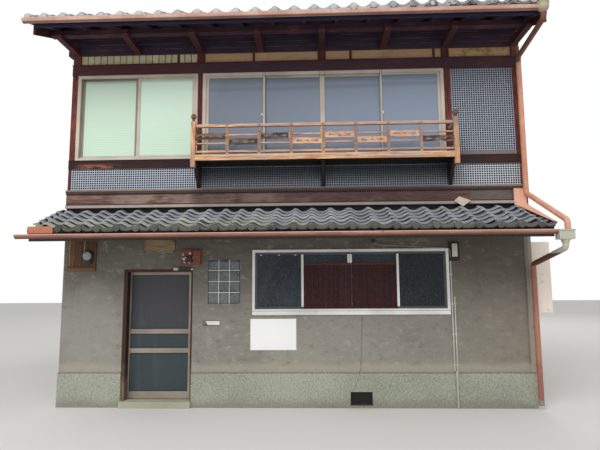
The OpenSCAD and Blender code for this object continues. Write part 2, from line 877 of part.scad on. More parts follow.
// Round hopper under the end of an upper gutter: a short drum on a half ball and a neck
bulb_h = 60;
bulb_rim = 16;
neck_r = pipe_r + 4;
module bulb_hopper(x, y, top) {
    translate([x, y, top - bulb_h]) rotate_extrude($fn = 48) difference() {
        union() {
            intersection() {
                circle(bulb_r, $fn = 64);
                translate([0, -bulb_r]) square([bulb_r, bulb_r]);
            }
            square([bulb_r, bulb_h]);
            translate([0, bulb_h - bulb_rim]) square([bulb_r + hopper_wall, bulb_rim]);
            translate([0, -bulb_r - neck_len]) square([neck_r, bulb_r + neck_len]);
        }
        square([bulb_r - hopper_wall, bulb_h + 1]);
    }
}

// Square hopper with a rim and a cone under it
rim_h = 14;
rim_out = 8;
cone_h = 45;
module box_hopper(x, y, top) {
    translate([x, y, top]) {
        difference() {
            union() {
                box([-hopper_w / 2, -hopper_d / 2, -hopper_h], [hopper_w / 2, hopper_d / 2, 0]);
                box([-hopper_w / 2, -hopper_d / 2 - rim_out, -rim_h],
                    [hopper_w / 2 + rim_out, hopper_d / 2, 0]);
            }
            box([-hopper_w / 2 + hopper_wall, -hopper_d / 2 + hopper_wall, -hopper_floor],
                [hopper_w / 2 - hopper_wall, hopper_d / 2 - hopper_wall, 1]);
        }
        translate([0, 0, -hopper_h - cone_h])
            cylinder(r1 = neck_r, r2 = hopper_d / 2 - hopper_wall, h = cone_h, $fn = 48);
    }
}

// Strap that holds a pipe to the wall behind it
clip_w = 16;
clip_h = 24;
module clip(x, z, depth) {
    box([x - clip_w / 2, pipe_y, z - clip_h / 2], [x + clip_w / 2, pipe_y + depth, z + clip_h / 2]);
}

neck_len = 25;
hopper_floor = 70;
pipe_y = front - pipe_r - rain_t - rain_lip - 8;
upper_pipe_x = right - 16;
low_pipe_x = right + 20;
bulb_top = upper_gutter_z + 40;
bulb_foot = bulb_top - bulb_h - bulb_r - neck_len;
entry_x = hopper_x + 40;
hopper_top = low_gutter_z + 2;

// Hopper under the upper gutter and the route from it to the wall
module bulb() {
    bulb_hopper(bulb_x, bulb_y, bulb_top);
}
from_bulb = [
    [bulb_x, bulb_y, bulb_foot], [bulb_x, bulb_y, bulb_foot - 50], [upper_pipe_x, pipe_y, z_frieze - 60]
];

module upper_downpipe() {
    color("#d08a6a") union() {
        bulb();
        pipe_run(concat(from_bulb, [
            [upper_pipe_x, pipe_y, pent_top + 135],
            [entry_x, low_gutter_y, pent_top - pent_reach * pent_rise + 8],
            [entry_x, low_gutter_y, hopper_top - hopper_floor / 2]
        ]), pipe_r);
        for (z = [z_head - 60, z_window + 150, z_strip + 100]) clip(upper_pipe_x, z, front - pipe_y);
    }
}

low_elbow_z = 1980;
pipe_foot = 60;
module lower_downpipe() {
    bottom = hopper_top - hopper_h - cone_h;
    color("#b0ad92") union() {
        box_hopper(hopper_x, low_gutter_y, hopper_top);
        pipe_run([
            [hopper_x, low_gutter_y, bottom], [hopper_x, low_gutter_y, bottom - 60],
            [low_pipe_x, pipe_y, low_elbow_z], [low_pipe_x, pipe_y, pipe_foot]
        ], pipe_r);
        for (z = [low_elbow_z - 100, 1100, plinth_h + 100]) clip(low_pipe_x, z, front - pipe_y);
    }
}

// Downpipe at the rear, from the rear gutter to the ground
module rear_downpipe() {
    color("#b07a64") mirror([0, 1, 0]) union() {
        bulb();
        pipe_run(concat(from_bulb, [[upper_pipe_x, pipe_y, pipe_foot]]), pipe_r);
        for (z = [z_head, z_window, z_beam, 1500, plinth_h + 100]) clip(upper_pipe_x, z, front - pipe_y);
    }
}

// Windows: a frame, sashes that stand on it and panes that fill the sashes
module window_frame(x0, x1, z0, z1, y0, y1, side, foot) {
    difference() {
        box([x0, y0, z0], [x1, y1, z1]);
        box([x0 + side, y0 - 1, z0 + foot], [x1 - side, y1 + 1, z1 - side]);
    }
}

module sash(x0, x1, z0, z1, y, stile) {
    difference() {
        box([x0, y, z0], [x1, y + sash_t, z1]);
        box([x0 + stile, y - 1, z0 + stile], [x1 - stile, y + sash_t + 1, z1 - stile]);
    }
}

module pane(x0, x1, z0, z1, y, stile) {
    box([x0 + stile, y + sash_t / 2 - glass_t / 2, z0 + stile],
        [x1 - stile, y + sash_t / 2 + glass_t / 2, z1 - stile]);
}

sash_t = 26;
sash_gap = 4;
sash_slack = 1;
glass_t = 5;
upper_depth = 88;
upper_set_in = 10;
win1 = [tall_posts[0][1], tall_posts[1][0]];
win2 = [tall_posts[1][1], tall_posts[2][0]];
win1_mid = (win1[0] + win1[1]) / 2;
win2_mid = (win2[0] + win2[1]) / 2;
win2_q = (win2[1] - win2[0] - 2 * upper_side) / 4;
outer_y = front + upper_set_in;
inner_y = outer_y + sash_t + sash_gap;

// Each sash is its two sides and the track it runs in
upper_set = [
    [win1[0] + upper_side, win1_mid - sash_slack, inner_y],
    [win1_mid + sash_slack, win1[1] - upper_side, outer_y],
    [win2[0] + upper_side, win2_mid - win2_q + upper_stile / 2, outer_y],
    [win2_mid - win2_q - upper_stile / 2, win2_mid - sash_slack, inner_y],
    [win2_mid + sash_slack, win2_mid + win2_q + upper_stile / 2, inner_y],
    [win2_mid + win2_q - upper_stile / 2, win2[1] - upper_side, outer_y]
];

// Frame between two posts, with a flange that laps over their faces
module flanged_frame(w) {
    union() {
        window_frame(w[0], w[1], z_window, z_head, front, front + upper_depth, upper_side, upper_side);
        window_frame(w[0] - flange, w[1] + flange, z_window, z_head, front - flange_t, front,
                     flange + upper_side, upper_side);
    }
}

module upper_window_frames() {
    color("#b5aa9c") {
        flanged_frame(win1);
        flanged_frame(win2);
        for (z = [rwin_low, rwin_high])
            window_frame(-rwin_w / 2, rwin_w / 2, z, z + rwin_h,
                         rear - rwin_set - rwin_depth, rear - rwin_set, rwin_frame, rwin_frame);
    }
}

module upper_sashes() {
    color("#c9bfae")
        for (s = upper_set)
            sash(s[0], s[1], z_window + upper_side, z_head - upper_side, s[2], upper_stile);
}

module upper_glass() {
    rear_y = rear - rwin_set - rwin_depth / 2;
    color("#8995a3") {
        for (s = upper_set)
            pane(s[0], s[1], z_window + upper_side, z_head - upper_side, s[2], upper_stile);
        for (z = [rwin_low, rwin_high])
            box([-rwin_w / 2 + rwin_frame, rear_y, z + rwin_frame],
                [rwin_w / 2 - rwin_frame, rear_y + glass_t, z + rwin_h - rwin_frame]);
    }
}

// Ground floor window: four sashes on two tracks, and a reed screen before the middle two
gwin_y0 = front - gwin_proud;
gwin_depth = gwin_proud + 90;
gwin_q = (gwin_w - 2 * gwin_frame) / 4;
gz0 = gwin_z + gwin_sill;
gz1 = gwin_top - gwin_frame;
gouter = gwin_y0 + 22;
ginner = gouter + sash_t + sash_gap;
gleft = gwin_left + gwin_frame;
lower_set = [
    [gleft, gleft + gwin_q + gwin_stile / 2, gouter],
    [gleft + gwin_q - gwin_stile / 2, gleft + 2 * gwin_q - sash_slack, ginner],
    [gleft + 2 * gwin_q + sash_slack, gleft + 3 * gwin_q + gwin_stile / 2, ginner],
    [gleft + 3 * gwin_q - gwin_stile / 2, gleft + 4 * gwin_q, gouter]
];

module lower_window_frame() {
    color("#c8c6c0") window_frame(gwin_left, gwin_right, gwin_z, gwin_top,
                                  gwin_y0, gwin_y0 + gwin_depth, gwin_frame, gwin_sill);
}

module lower_sashes() {
    color("#c8c6c0") for (s = lower_set) sash(s[0], s[1], gz0, gz1, s[2], gwin_stile);
}

module lower_glass() {
    color("#33393f") for (s = lower_set) pane(s[0], s[1], gz0, gz1, s[2], gwin_stile);
}

// Flat screen of reeds hung before the two middle sashes
reed_t = 8;
reed_gap = 4;
module reed_screen() {
    x0 = gleft + gwin_q + gwin_stile / 2 + reed_gap;
    x1 = gleft + 3 * gwin_q - gwin_stile / 2 - reed_gap;
    color("#3d1a1b") box([x0, ginner - reed_t, gz0], [x1, ginner, gz1 - reed_drop]);
}

// Glass blocks in their white joints
block_joint = 10;
block_t = 95;
block_set = 6;
module block_grid(y0, y1) {
    w = block_pitch_x - block_joint;
    h = block_pitch_z - block_joint;
    for (i = [0 : block_cols - 1], j = [0 : block_rows - 1])
        translate([blocks_left + i * block_pitch_x + block_joint / 2, y0,
                   blocks_z + j * block_pitch_z + block_joint / 2])
            cube([w, y1 - y0, h]);
}

module glass_blocks() {
    color("#5b6261") block_grid(front + block_set, front + block_set + block_t);
}

module block_joints() {
    color("#c4c6bf") difference() {
        box([blocks_left, front + block_set, blocks_z],
            [blocks_left + blocks_w, front + block_set + block_t, blocks_z + blocks_h]);
        block_grid(front, front + block_set + block_t + 1);
    }
}

// Entrance: jambs and head in the wall, and a leaf that slides behind the wall
module door_frame() {
    color("#3a1b16") union() {
        box([door_left, front, threshold_h], [door_left + jamb_w, front + wall_t, door_h - door_head_h]);
        box([door_right - jamb_r, front, threshold_h], [door_right, front + wall_t, door_h - door_head_h]);
        box([door_left, front, door_h - door_head_h], [door_right, front + wall_t, door_h]);
    }
}

leaf_y = front + wall_t + leaf_gap;
leaf_mid = leaf_y + leaf_t / 2;
leaf_x0 = door_left + jamb_w - leaf_lap;
leaf_x1 = door_right - jamb_r + leaf_lap;
rail_top = slab_t + 8;
rail_w = 8;
wheel_r = 14;
wheel_t = 14;
wheel_in = 120;
wheel_seat = 0.3;
wheel_gap = 6;
wheel_slot_h = 26;
wheel_places = [leaf_x0 + wheel_in, leaf_x1 - wheel_in];
leaf_z0 = rail_top + leaf_gap;
leaf_z1 = door_h - door_head_h + leaf_lap;
track_x0 = leaf_x0 - 20;
track_x1 = leaf_x1 + leaf_travel + 10;

// Heights of the leaf's panes over its foot, between its four rails
leaf_panes = [[103, 646], [714, 921], [989, leaf_z1 - leaf_z0 - 63]];

module door_track() {
    guide_t = 12;
    guide_h = 14;
    high = leaf_z1 + leaf_gap;
    lip_y = leaf_y + leaf_t + leaf_gap;
    color("#8a7a50") {
        box([track_x0, leaf_mid - rail_w / 2, slab_t], [track_x1, leaf_mid + rail_w / 2, rail_top]);
        box([track_x0, front + wall_t, high], [track_x1, lip_y + guide_t, high + 20]);
        box([track_x0, lip_y, leaf_z1 - guide_h], [track_x1, lip_y + guide_t, high]);
    }
}

module door_leaf() {
    color("#9c8d83") union() {
        difference() {
            box([leaf_x0, leaf_y, leaf_z0], [leaf_x1, leaf_y + leaf_t, leaf_z1]);
            for (p = leaf_panes)
                box([leaf_x0 + leaf_stile, leaf_y - 1, leaf_z0 + p[0]],
                    [leaf_x1 - lock_stile, leaf_y + leaf_t + 1, leaf_z0 + p[1]]);
            for (x = wheel_places)
                box([x - wheel_r - wheel_gap, leaf_mid - wheel_gap, leaf_z0 - 1],
                    [x + wheel_r + wheel_gap, leaf_mid + wheel_gap, leaf_z0 + wheel_slot_h]);
        }
        for (x = wheel_places)
            translate([x, leaf_mid + wheel_t / 2, rail_top + wheel_seat + wheel_r]) rotate([90, 0, 0])
                cylinder(r = wheel_r, h = wheel_t, $fn = 32);
    }
}

module door_glass() {
    y = leaf_mid - glass_t / 2;
    color("#41484b")
        for (p = leaf_panes)
            box([leaf_x0 + leaf_stile, y, leaf_z0 + p[0]],
                [leaf_x1 - lock_stile, y + glass_t, leaf_z0 + p[1]]);
}

// Balcony: a beam and a narrow deck on three brackets, under a railing between two newels
rail_y = front - rail_out;
z_deck = z_sill + deck_drop;
z_rail = z_deck + deck_beam_h;
newel_l = post_2 - newel_over_l;
newel_r = post_4 + newel_over_r;
rail_x0 = newel_l + newel_w / 2;
rail_x1 = newel_r - newel_w / 2;
deck_t = 20;
deck_under = 30;
deck_beam_w = 60;
deck_inner = rail_y + deck_beam_w / 2;
deck_top = z_rail - deck_under;
module balcony_deck() {
    color("#8a5f48") {
        box([rail_x0, rail_y - deck_beam_w / 2, z_deck], [rail_x1, deck_inner, z_rail]);
        box([rail_x0, deck_inner, deck_top - deck_t], [rail_x1, front - sill_proud, deck_top]);
    }
}

// Bracket with a raking underside, from a post's foot out to the beam or to a newel
bracket_low = 15;
bracket_nose = 30;
module bracket(x, end) {
    under = deck_top - deck_t;
    along_x(x - bracket_w / 2, x + bracket_w / 2, [
        [front, z_strip + bracket_low], [front, z_sill], [front - sill_proud, z_sill],
        [front - sill_proud, under], [end, under], [end, z_deck - bracket_nose],
        [end + bracket_nose, z_deck - bracket_nose]
    ]);
}

module balcony_brackets() {
    color("#4a2a20") {
        bracket(post_2, rail_y + newel_w / 2);
        bracket(post_3, deck_inner);
        bracket(post_4, rail_y + newel_w / 2);
    }
}

newel_foot = z_deck - newel_drop;
newel_top = z_rail + rail_h + newel_rise;
module newel(x) {
    union() {
        translate([x - newel_w / 2, rail_y - newel_w / 2, newel_foot])
            cube([newel_w, newel_w, newel_top - newel_foot]);
        translate([x, rail_y, newel_top - 1]) rotate_extrude($fn = 40) knob();
    }
}

// Half outline of an onion-shaped knob on a neck with a collar
neck_h = 45;
collar_h = 8;
knob_tip = 24;
module knob() {
    neck_x = newel_w * 0.3;
    square([neck_x, neck_h]);
    square([newel_w * 0.42, collar_h]);
    translate([0, neck_h - 1 + knob_r]) intersection() {
        union() {
            circle(knob_r);
            polygon([[0, 0], [knob_r * 0.8, knob_r * 0.6], [0, knob_r + knob_tip]]);
        }
        translate([0, -knob_r]) square([knob_r, 2 * knob_r + knob_tip]);
    }
}

module balcony_newels() {
    color("#c99b6a") {
        newel(newel_l);
        newel(newel_r);
    }
}

// Rail with a square or flat section between two ends, along X or back to the wall
module rail_x(z, h, d) {
    box([rail_x0, rail_y - d / 2, z - h / 2], [rail_x1, rail_y + d / 2, z + h / 2]);
}
module rail_back(x, z, h, d) {
    box([x - d / 2, rail_y + newel_w / 2, z - h / 2], [x + d / 2, front, z + h / 2]);
}

rail_pitch = (rail_x1 - rail_x0) / rail_bays;
function bay_x(i) = rail_x0 + (i + 0.5) * rail_pitch;
function high_bay(i) = i % 2 == 0;
thin_rail = 20;
low_rail_h = 28;
z_top_rail = z_rail + rail_h - top_rail_h / 2;
z_low_rail = z_rail + rail_gap + low_rail_h / 2;
z_board_high = z_rail + board_high;
z_board_low = z_rail + board_low;
z_thin_high = z_rail + thin_high;
z_thin_low = z_rail + thin_low;
module balcony_rails() {
    color("#c99b6a") {
        union() {
            rail_x(z_top_rail, top_rail_h, baluster_w + 4);
            rail_x(z_low_rail, low_rail_h, baluster_w + 2);
            for (i = [1 : rail_bays - 1])
                box([rail_x0 + i * rail_pitch - baluster_w / 2, rail_y - baluster_t / 2, z_rail],
                    [rail_x0 + i * rail_pitch + baluster_w / 2, rail_y + baluster_t / 2,
                     z_rail + rail_h - top_rail_h]);
            for (i = [0 : rail_bays - 1])
                box([bay_x(i) - rail_pitch / 2, rail_y - thin_rail / 2,
                     (high_bay(i) ? z_thin_low : z_thin_high) - thin_rail / 2],
                    [bay_x(i) + rail_pitch / 2, rail_y + thin_rail / 2,
                     (high_bay(i) ? z_thin_low : z_thin_high) + thin_rail / 2]);
        }
        for (x = [newel_l, newel_r]) {
            rail_back(x, z_top_rail, top_rail_h, baluster_w + 4);
            rail_back(x, z_thin_high, thin_rail, thin_rail);
            rail_back(x, z_low_rail, low_rail_h, baluster_w + 2);
        }
    }
}

// Drop-shaped hole with its round end outwards, that narrows to a tail towards the board's middle
module drop(length, r) {
    circle(r, $fn = 32);
    polygon([[0, r], [0, -r], [-length, 0]]);
}

// Board with a drop on each side and a notched slot in its middle
module pierced_face(w, h) {
    difference() {
        square([w, h], center = true);
        for (a = [0, 180]) rotate(a) translate([w * 0.34, 0]) drop(w * 0.2, h * 0.2);
        circle(h * 0.16, $fn = 24);
        square([h * 0.6, h * 0.1], center = true);
    }
}

// Weathered board whose lower edge has rotted to a curve
module broken_face(w, h) {
    difference() {
        pierced_face(w, h);
        translate([w * 0.05, -h * 1.55]) circle(h * 1.3, $fn = 64);
    }
}

// Clear stretch of a bay, between newels and balusters
function bay_start(i) = rail_x0 + i * rail_pitch + (i == 0 ? 0 : baluster_w / 2);
function bay_end(i) = rail_x0 + (i + 1) * rail_pitch - (i == rail_bays - 1 ? 0 : baluster_w / 2);
module pierced_boards() {
    color("#b98c60") for (i = [0 : rail_bays - 1]) {
        w = bay_end(i) - bay_start(i) - 2 * board_slack;
        translate([(bay_start(i) + bay_end(i)) / 2, rail_y + pierced_t / 2,
                   high_bay(i) ? z_board_high : z_board_low])
            rotate([90, 0, 0]) linear_extrude(pierced_t)
                if (i == rail_bays - 1) broken_face(w, pierced_h);
                else pierced_face(w, pierced_h);
    }
}

// Electricity meter on its board: a round base, a glass dome and a ledge under it
meter_board_in = 66;
meter_board_w = 423;
meter_board_h = 485;
meter_board_t = 20;
meter_board_z = wall_top - 793;
meter_x = left + meter_board_in + 307;
meter_z = meter_board_z + 225;
meter_r = 86;
dome_r = 76;
dome_t = 74;
base_t = 28;
dome_round = 16;
ledge_w = 60;
module meter_board() {
    x0 = left + meter_board_in;
    face = front - meter_board_t;
    flat_r = dome_r - dome_round;
    color("#5a4030") {
        union() {
            translate([x0, face, meter_board_z]) cube([meter_board_w, meter_board_t, meter_board_h]);
            translate([x0, face - meter_board_t, meter_board_z])
                cube([meter_board_w, meter_board_t, ledge_w]);
        }
        translate([meter_x, face, meter_z]) rotate([90, 0, 0]) rotate_extrude($fn = 64) {
            square([meter_r, base_t]);
            square([flat_r, base_t + dome_t]);
            square([dome_r, base_t + dome_t - dome_round]);
            translate([flat_r, base_t + dome_t - dome_round]) circle(dome_round, $fn = 32);
        }
    }
}

// Switch board beside the door head and breaker board beside the window
board_face = 18;
switch_board = [305, 227];
switch_panel = [100, 34, 199];
switch_case = [64, 40, 96];
knob_socket = [24, 30];
breaker_board = [154, 272];
breaker_case = [62, 30, 166];
breaker_x = gwin_right + 4;
breaker_z = gwin_top - 182;
module switch_boards() {
    x0 = door_right - 175;
    z0 = door_h + 56;
    face = front - board_face;
    color("#5c2c24") {
        union() {
            translate([x0, face, z0]) cube([switch_board[0], board_face, switch_board[1]]);
            translate([x0 + 188, face - switch_panel[1], z0 + 14]) cube(switch_panel);
            translate([x0 + 96, face - switch_case[1], z0 + 50]) cube(switch_case);
            translate([x0 + 138, face, z0 + 176]) rotate([90, 0, 0])
                cylinder(r = knob_socket[0], h = knob_socket[1], $fn = 32);
        }
        union() {
            translate([breaker_x, face, breaker_z]) cube([breaker_board[0], board_face, breaker_board[1]]);
            translate([breaker_x + 52, face - breaker_case[1], breaker_z + 78]) cube(breaker_case);
        }
    }
}

// Frame of the letter slot, with a flap behind its hole
slot_t = 8;
flap_t = 3;
module letter_slot() {
    color("#e6d8c4") difference() {
        translate([slot_left, front - slot_t, slot_z]) cube([slot_w, slot_t, slot_h]);
        translate([slot_left + slot_edge, front - slot_t - 1, slot_z + slot_edge])
            cube([slot_w - 2 * slot_edge, slot_t - flap_t + 1, slot_h - 2 * slot_edge]);
    }
}

// Two cable pipes from the breaker board down the wall, into a wider pipe on the plinth
cable_r = 9;
duct_r = 16;
saddle_h = 14;
module cable_pipe(x, z0, z1, r, face) {
    y = face - r - 1;
    union() {
        translate([x, y, z0]) cylinder(r = r, h = z1 - z0, $fn = 32);
        for (z = [z0 + 80 : 420 : z1 - 40])
            box([x - r - 10, y, z], [x + r + 10, face, z + saddle_h]);
    }
}

module conduits() {
    low = plinth_h + 20;
    color("#b0ada0") {
        cable_pipe(breaker_x + 22, low, breaker_z, cable_r, front);
        cable_pipe(breaker_x + 60, low, gwin_z + 248, cable_r, front);
        cable_pipe(breaker_x + 46, 0, low, duct_r, front - plinth_proud);
    }
}

// Tube lamp on the head of the door, with a round socket at its left end
lamp_r = 13;
socket_r = 24;
lamp_len = 250;
module door_lamp() {
    x0 = door_right - 275;
    y = front - socket_r - 6;
    z = door_h + 2;
    color("#d8d4c8") union() {
        translate([x0, y, z]) rotate([0, 90, 0]) cylinder(r = lamp_r, h = lamp_len, $fn = 32);
        translate([x0, y, z]) rotate([0, 90, 0]) cylinder(r = socket_r, h = 52, $fn = 32);
        box([x0, y, z - 6], [x0 + lamp_len, front, z + 6]);
    }
}

// Painted housing on the right side wall
side_case = [275, 420, 1005];
side_case_z = 1300;
side_case_in = 50;
module side_box() {
    color("#e6cdbb") translate([right + clad_t, front + side_case_in, side_case_z]) cube(side_case);
}

plinth_front();
plinth_sides();
ground_slab();
threshold();
front_wall_left();
front_wall_right();
wall_over_door();
party_walls();
rear_wall();
side_cladding();
front_beams();
upper_floor();
upper_posts();
frieze_panels();
mosaic_panels();
rain_board();
plate_beams();
bracket_arms();
eave_purlins();
ridge_beam();
rafters();
roof_boards();
roof_tiles_front();
roof_tiles_rear();
ridge_tiles();
bargeboards();
eave_boards();
pent_rafters();
pent_boards();
pent_tiles();
pent_flashing();
gutters();
upper_downpipe();
lower_downpipe();
rear_downpipe();
upper_window_frames();
upper_sashes();
upper_glass();
lower_window_frame();
lower_sashes();
lower_glass();
reed_screen();
glass_blocks();
block_joints();
door_frame();
door_track();
door_leaf();
door_glass();
balcony_deck();
balcony_brackets();
balcony_newels();
balcony_rails();
pierced_boards();
meter_board();
switch_boards();
letter_slot();
conduits();
door_lamp();
side_box();
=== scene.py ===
import bpy
import bmesh
import math
import random
from functools import partialmethod
from mathutils import Matrix, Vector


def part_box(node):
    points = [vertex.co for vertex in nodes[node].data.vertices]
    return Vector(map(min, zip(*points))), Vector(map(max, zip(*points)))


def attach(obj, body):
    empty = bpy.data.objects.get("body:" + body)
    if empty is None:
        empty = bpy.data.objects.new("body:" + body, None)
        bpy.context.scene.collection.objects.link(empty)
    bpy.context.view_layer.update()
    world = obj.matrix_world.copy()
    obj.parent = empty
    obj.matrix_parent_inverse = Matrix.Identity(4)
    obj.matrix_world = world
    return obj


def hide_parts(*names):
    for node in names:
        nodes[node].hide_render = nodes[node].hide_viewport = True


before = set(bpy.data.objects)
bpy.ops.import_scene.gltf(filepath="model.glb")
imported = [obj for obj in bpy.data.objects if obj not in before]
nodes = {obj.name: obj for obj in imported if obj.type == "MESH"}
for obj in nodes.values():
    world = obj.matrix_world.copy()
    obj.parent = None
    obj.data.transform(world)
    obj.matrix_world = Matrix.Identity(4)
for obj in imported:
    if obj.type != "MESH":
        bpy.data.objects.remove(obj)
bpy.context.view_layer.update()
scene = bpy.context.scene
scene.view_settings.view_transform = "Standard"
luck = random.Random(11)
# Face of the street wall along Y, and the two ends of the balcony along X, in metres
WALL = -3.70
BALCONY = (-1.42, 2.36)


# Camera, light and ground

def set_camera():
    forward = Vector((-0.03653, 0.99234, 0.11801)).normalized()
    level = forward.cross(Vector((0, 0, 1))).normalized()
    rise = level.cross(forward)
    roll = math.radians(-0.374)
    across = level * math.cos(roll) + rise * math.sin(roll)
    up = rise * math.cos(roll) - level * math.sin(roll)
    data = bpy.data.cameras.new("street_camera")
    data.sensor_width = 36
    data.lens = 30
    data.clip_end = 200
    camera = bpy.data.objects.new("street_camera", data)
    turn = Matrix((across, up, -forward)).transposed().to_4x4()
    camera.matrix_world = Matrix.Translation((0.383, -10.966, 1.719)) @ turn
    scene.collection.objects.link(camera)
    scene.camera = camera


def softbox(name, place, aim, size, power):
    data = bpy.data.lights.new(name, "AREA")
    data.shape = "DISK"
    data.size = size
    data.energy = power
    lamp = bpy.data.objects.new(name, data)
    lamp.location = place
    lamp.rotation_euler = (Vector(aim) - Vector(place)).to_track_quat("-Z", "Y").to_euler()
    lamp.visible_glossy = False
    scene.collection.objects.link(lamp)


def set_world():
    """Soft light from all round, and plain white wherever a ray sees the world itself."""
    world = bpy.data.worlds.new("studio")
    scene.world = world
    world.use_nodes = True
    tree = world.node_tree
    tree.nodes.clear()

    def node(kind, *feeds, **values):
        made = tree.nodes.new("ShaderNode" + kind)
        for number, feed in enumerate(feeds):
            tree.links.new(feed, made.inputs[number])
        for key, value in values.items():
            made.inputs[key].default_value = value
        return made

    def most(one, other):
        made = node("Math", one, other)
        made.operation = "MAXIMUM"
        return made.outputs[0]

    rays = node("LightPath").outputs
    seen = most(rays["Is Camera Ray"], rays["Is Transmission Ray"])
    shiny = most(seen, rays["Is Glossy Ray"])
    light = node("Background", Color=(0.97, 0.985, 1.0, 1), Strength=0.62).outputs[0]
    white = node("Background", Color=(1, 1, 1, 1), Strength=1.0).outputs[0]
    node("OutputWorld", node("MixShader", shiny, light, white).outputs[0])


set_camera()
set_world()
softbox("sky_front", (-3.0, -15.0, 13.0), (0, -3.7, 2.5), 9, 1500)
softbox("sky_back", (6.0, 14.0, 12.0), (0, 3.7, 3.0), 9, 700)


# Finishes

def tint(shade):
    """A web colour as the linear colour that a shader takes."""
    if not isinstance(shade, str):
        return shade
    parts = [int(shade[i:i + 2], 16) / 255 for i in (1, 3, 5)]
    return (*[c / 12.92 if c <= 0.04045 else ((c + 0.055) / 1.055) ** 2.4 for c in parts], 1.0)


class Wire:
    """One output of a finish's nodes, on which sums are written as sums."""

    def __init__(self, finish, socket):
        self.finish = finish
        self.socket = socket

    def math(self, kind, *others):
        return self.finish.node("Math", {"operation": kind}, dict(enumerate((self, *others))))

    def __rsub__(self, other):
        return self.finish.node("Math", {"operation": "SUBTRACT"}, {0: other, 1: self})

    __add__ = __radd__ = partialmethod(math, "ADD")
    __sub__ = partialmethod(math, "SUBTRACT")
    __mul__ = __rmul__ = partialmethod(math, "MULTIPLY")
    __truediv__ = partialmethod(math, "DIVIDE")
    __abs__ = partialmethod(math, "ABSOLUTE")
    most = partialmethod(math, "MAXIMUM")


class Finish:
    """A procedural surface, laid out on Object coordinates in metres."""

    def __init__(self, name, **fixed):
        self.material = bpy.data.materials.new(name)
        self.material.use_nodes = True
        self.tree = self.material.node_tree
        self.tree.nodes.clear()
        self.shader = self.tree.nodes.new("ShaderNodeBsdfPrincipled")
        out = self.tree.nodes.new("ShaderNodeOutputMaterial")
        self.tree.links.new(self.shader.outputs[0], out.inputs["Surface"])
        for key, value in fixed.items():
            self.put(self.shader.inputs[key.replace("_", " ")], value)
        self.spot = self.node("TexCoord", {}, {}, "Object")
        split = self.node("SeparateXYZ", {}, {0: self.spot}).socket.node
        self.x, self.y, self.z = (Wire(self, output) for output in split.outputs)

    def put(self, socket, value):
        if isinstance(value, Wire):
            self.tree.links.new(value.socket, socket)
        else:
            socket.default_value = tint(value)

    def node(self, kind, settings, sockets, take=0):
        made = self.tree.nodes.new("ShaderNode" + kind)
        for key, value in settings.items():
            if key == "stops":
                ramp = made.color_ramp.elements
                ramp.remove(ramp[1])
                ramp[0].position, ramp[0].color = value[0][0], tint(value[0][1])
                for place, shade in value[1:]:
                    ramp.new(place).color = tint(shade)
            else:
                setattr(made, key, value)
        for key, value in sockets.items():
            self.put(made.inputs[key], value)
        return Wire(self, made.outputs[take])

    def at(self, x=1.0, y=1.0, z=1.0, move=(0, 0, 0)):
        """The place on the piece, with each axis scaled."""
        return self.node("Mapping", {}, {"Vector": self.spot, "Scale": (x, y, z), "Location": move})

    def noise(self, scale, detail=3.0, rough=0.55, spot=None, warp=0.0):
        """Clouds from 0 to 1, at a spot or with each axis scaled."""
        if isinstance(spot, tuple):
            spot = self.at(*spot)
        return self.node("TexNoise", {}, {"Vector": spot or self.spot, "Scale": scale, "Detail": detail,
                                          "Roughness": rough, "Distortion": warp})

    def cells(self, scale, spot):
        return self.node("TexVoronoi", {}, {"Vector": spot, "Scale": scale}, "Distance")

    def step(self, value, low, high, kind="SMOOTHSTEP"):
        """0 where the value is low, 1 where it is high."""
        if low > high:
            return 1 - self.step(value, high, low, kind)
        return self.node("MapRange", {"interpolation_type": kind},
                         {"Value": value, "From Min": low, "From Max": high})

    def mix(self, share, under, over):
        return self.node("Mix", {"data_type": "RGBA"}, {0: share, 6: under, 7: over}, 2)

    def over(self, colour, *layers):
        """Layers laid one on another, each a share and its colour."""
        for share, shade in layers:
            colour = self.mix(share, colour, shade)
        return colour

    def patches(self, low, high, *noise):
        """1 in patches of noise, 0 between them."""
        return self.step(self.noise(*noise), low, high)

    def ragged(self, value, scale, reach, detail=3):
        """A value that wanders, so that an edge drawn by it is ragged."""
        return value + (self.noise(scale, detail) - 0.5) * reach

    def ramp(self, value, *stops):
        return self.node("ValToRGB", {"stops": stops}, {0: value})

    def window(self, value, low, high, soft=0.02):
        """1 between two places along an axis."""
        return self.step(value, low - soft, low + soft) * self.step(value, high + soft, high - soft)

    def joints(self, value, pitch, width, start=0.0):
        """1 in a narrow joint at each pitch along an axis."""
        near = (value - start).math("PINGPONG", pitch / 2)
        return self.step(near, width / 2 * 1.25, width / 2 * 0.75, "LINEAR")

    def per_board(self, value, pitch):
        """A number from 0 to 1 that is the same all over one board or tile."""
        return self.node("TexWhiteNoise", {"noise_dimensions": "1D"}, {"W": (value / pitch).math("FLOOR")})

    def tone(self, layer="tone"):
        """A number that each repeated copy carries."""
        return self.node("Attribute", {"attribute_name": layer}, {}, "Fac")

    def done(self, colour, rough=0.7, height=None, depth=0.002):
        self.put(self.shader.inputs["Base Color"], colour)
        self.put(self.shader.inputs["Roughness"], rough)
        if height is not None:
            normal = self.node("Bump", {}, {"Height": height, "Distance": depth, "Strength": 0.9})
            self.put(self.shader.inputs["Normal"], normal)
        return self.material


def no_wear(f):
    """Layers of a finish with nothing more on it."""
    return []


FIBRE = {"x": (1.6, 34, 34), "y": (34, 1.6, 34), "z": (34, 34, 1.6)}


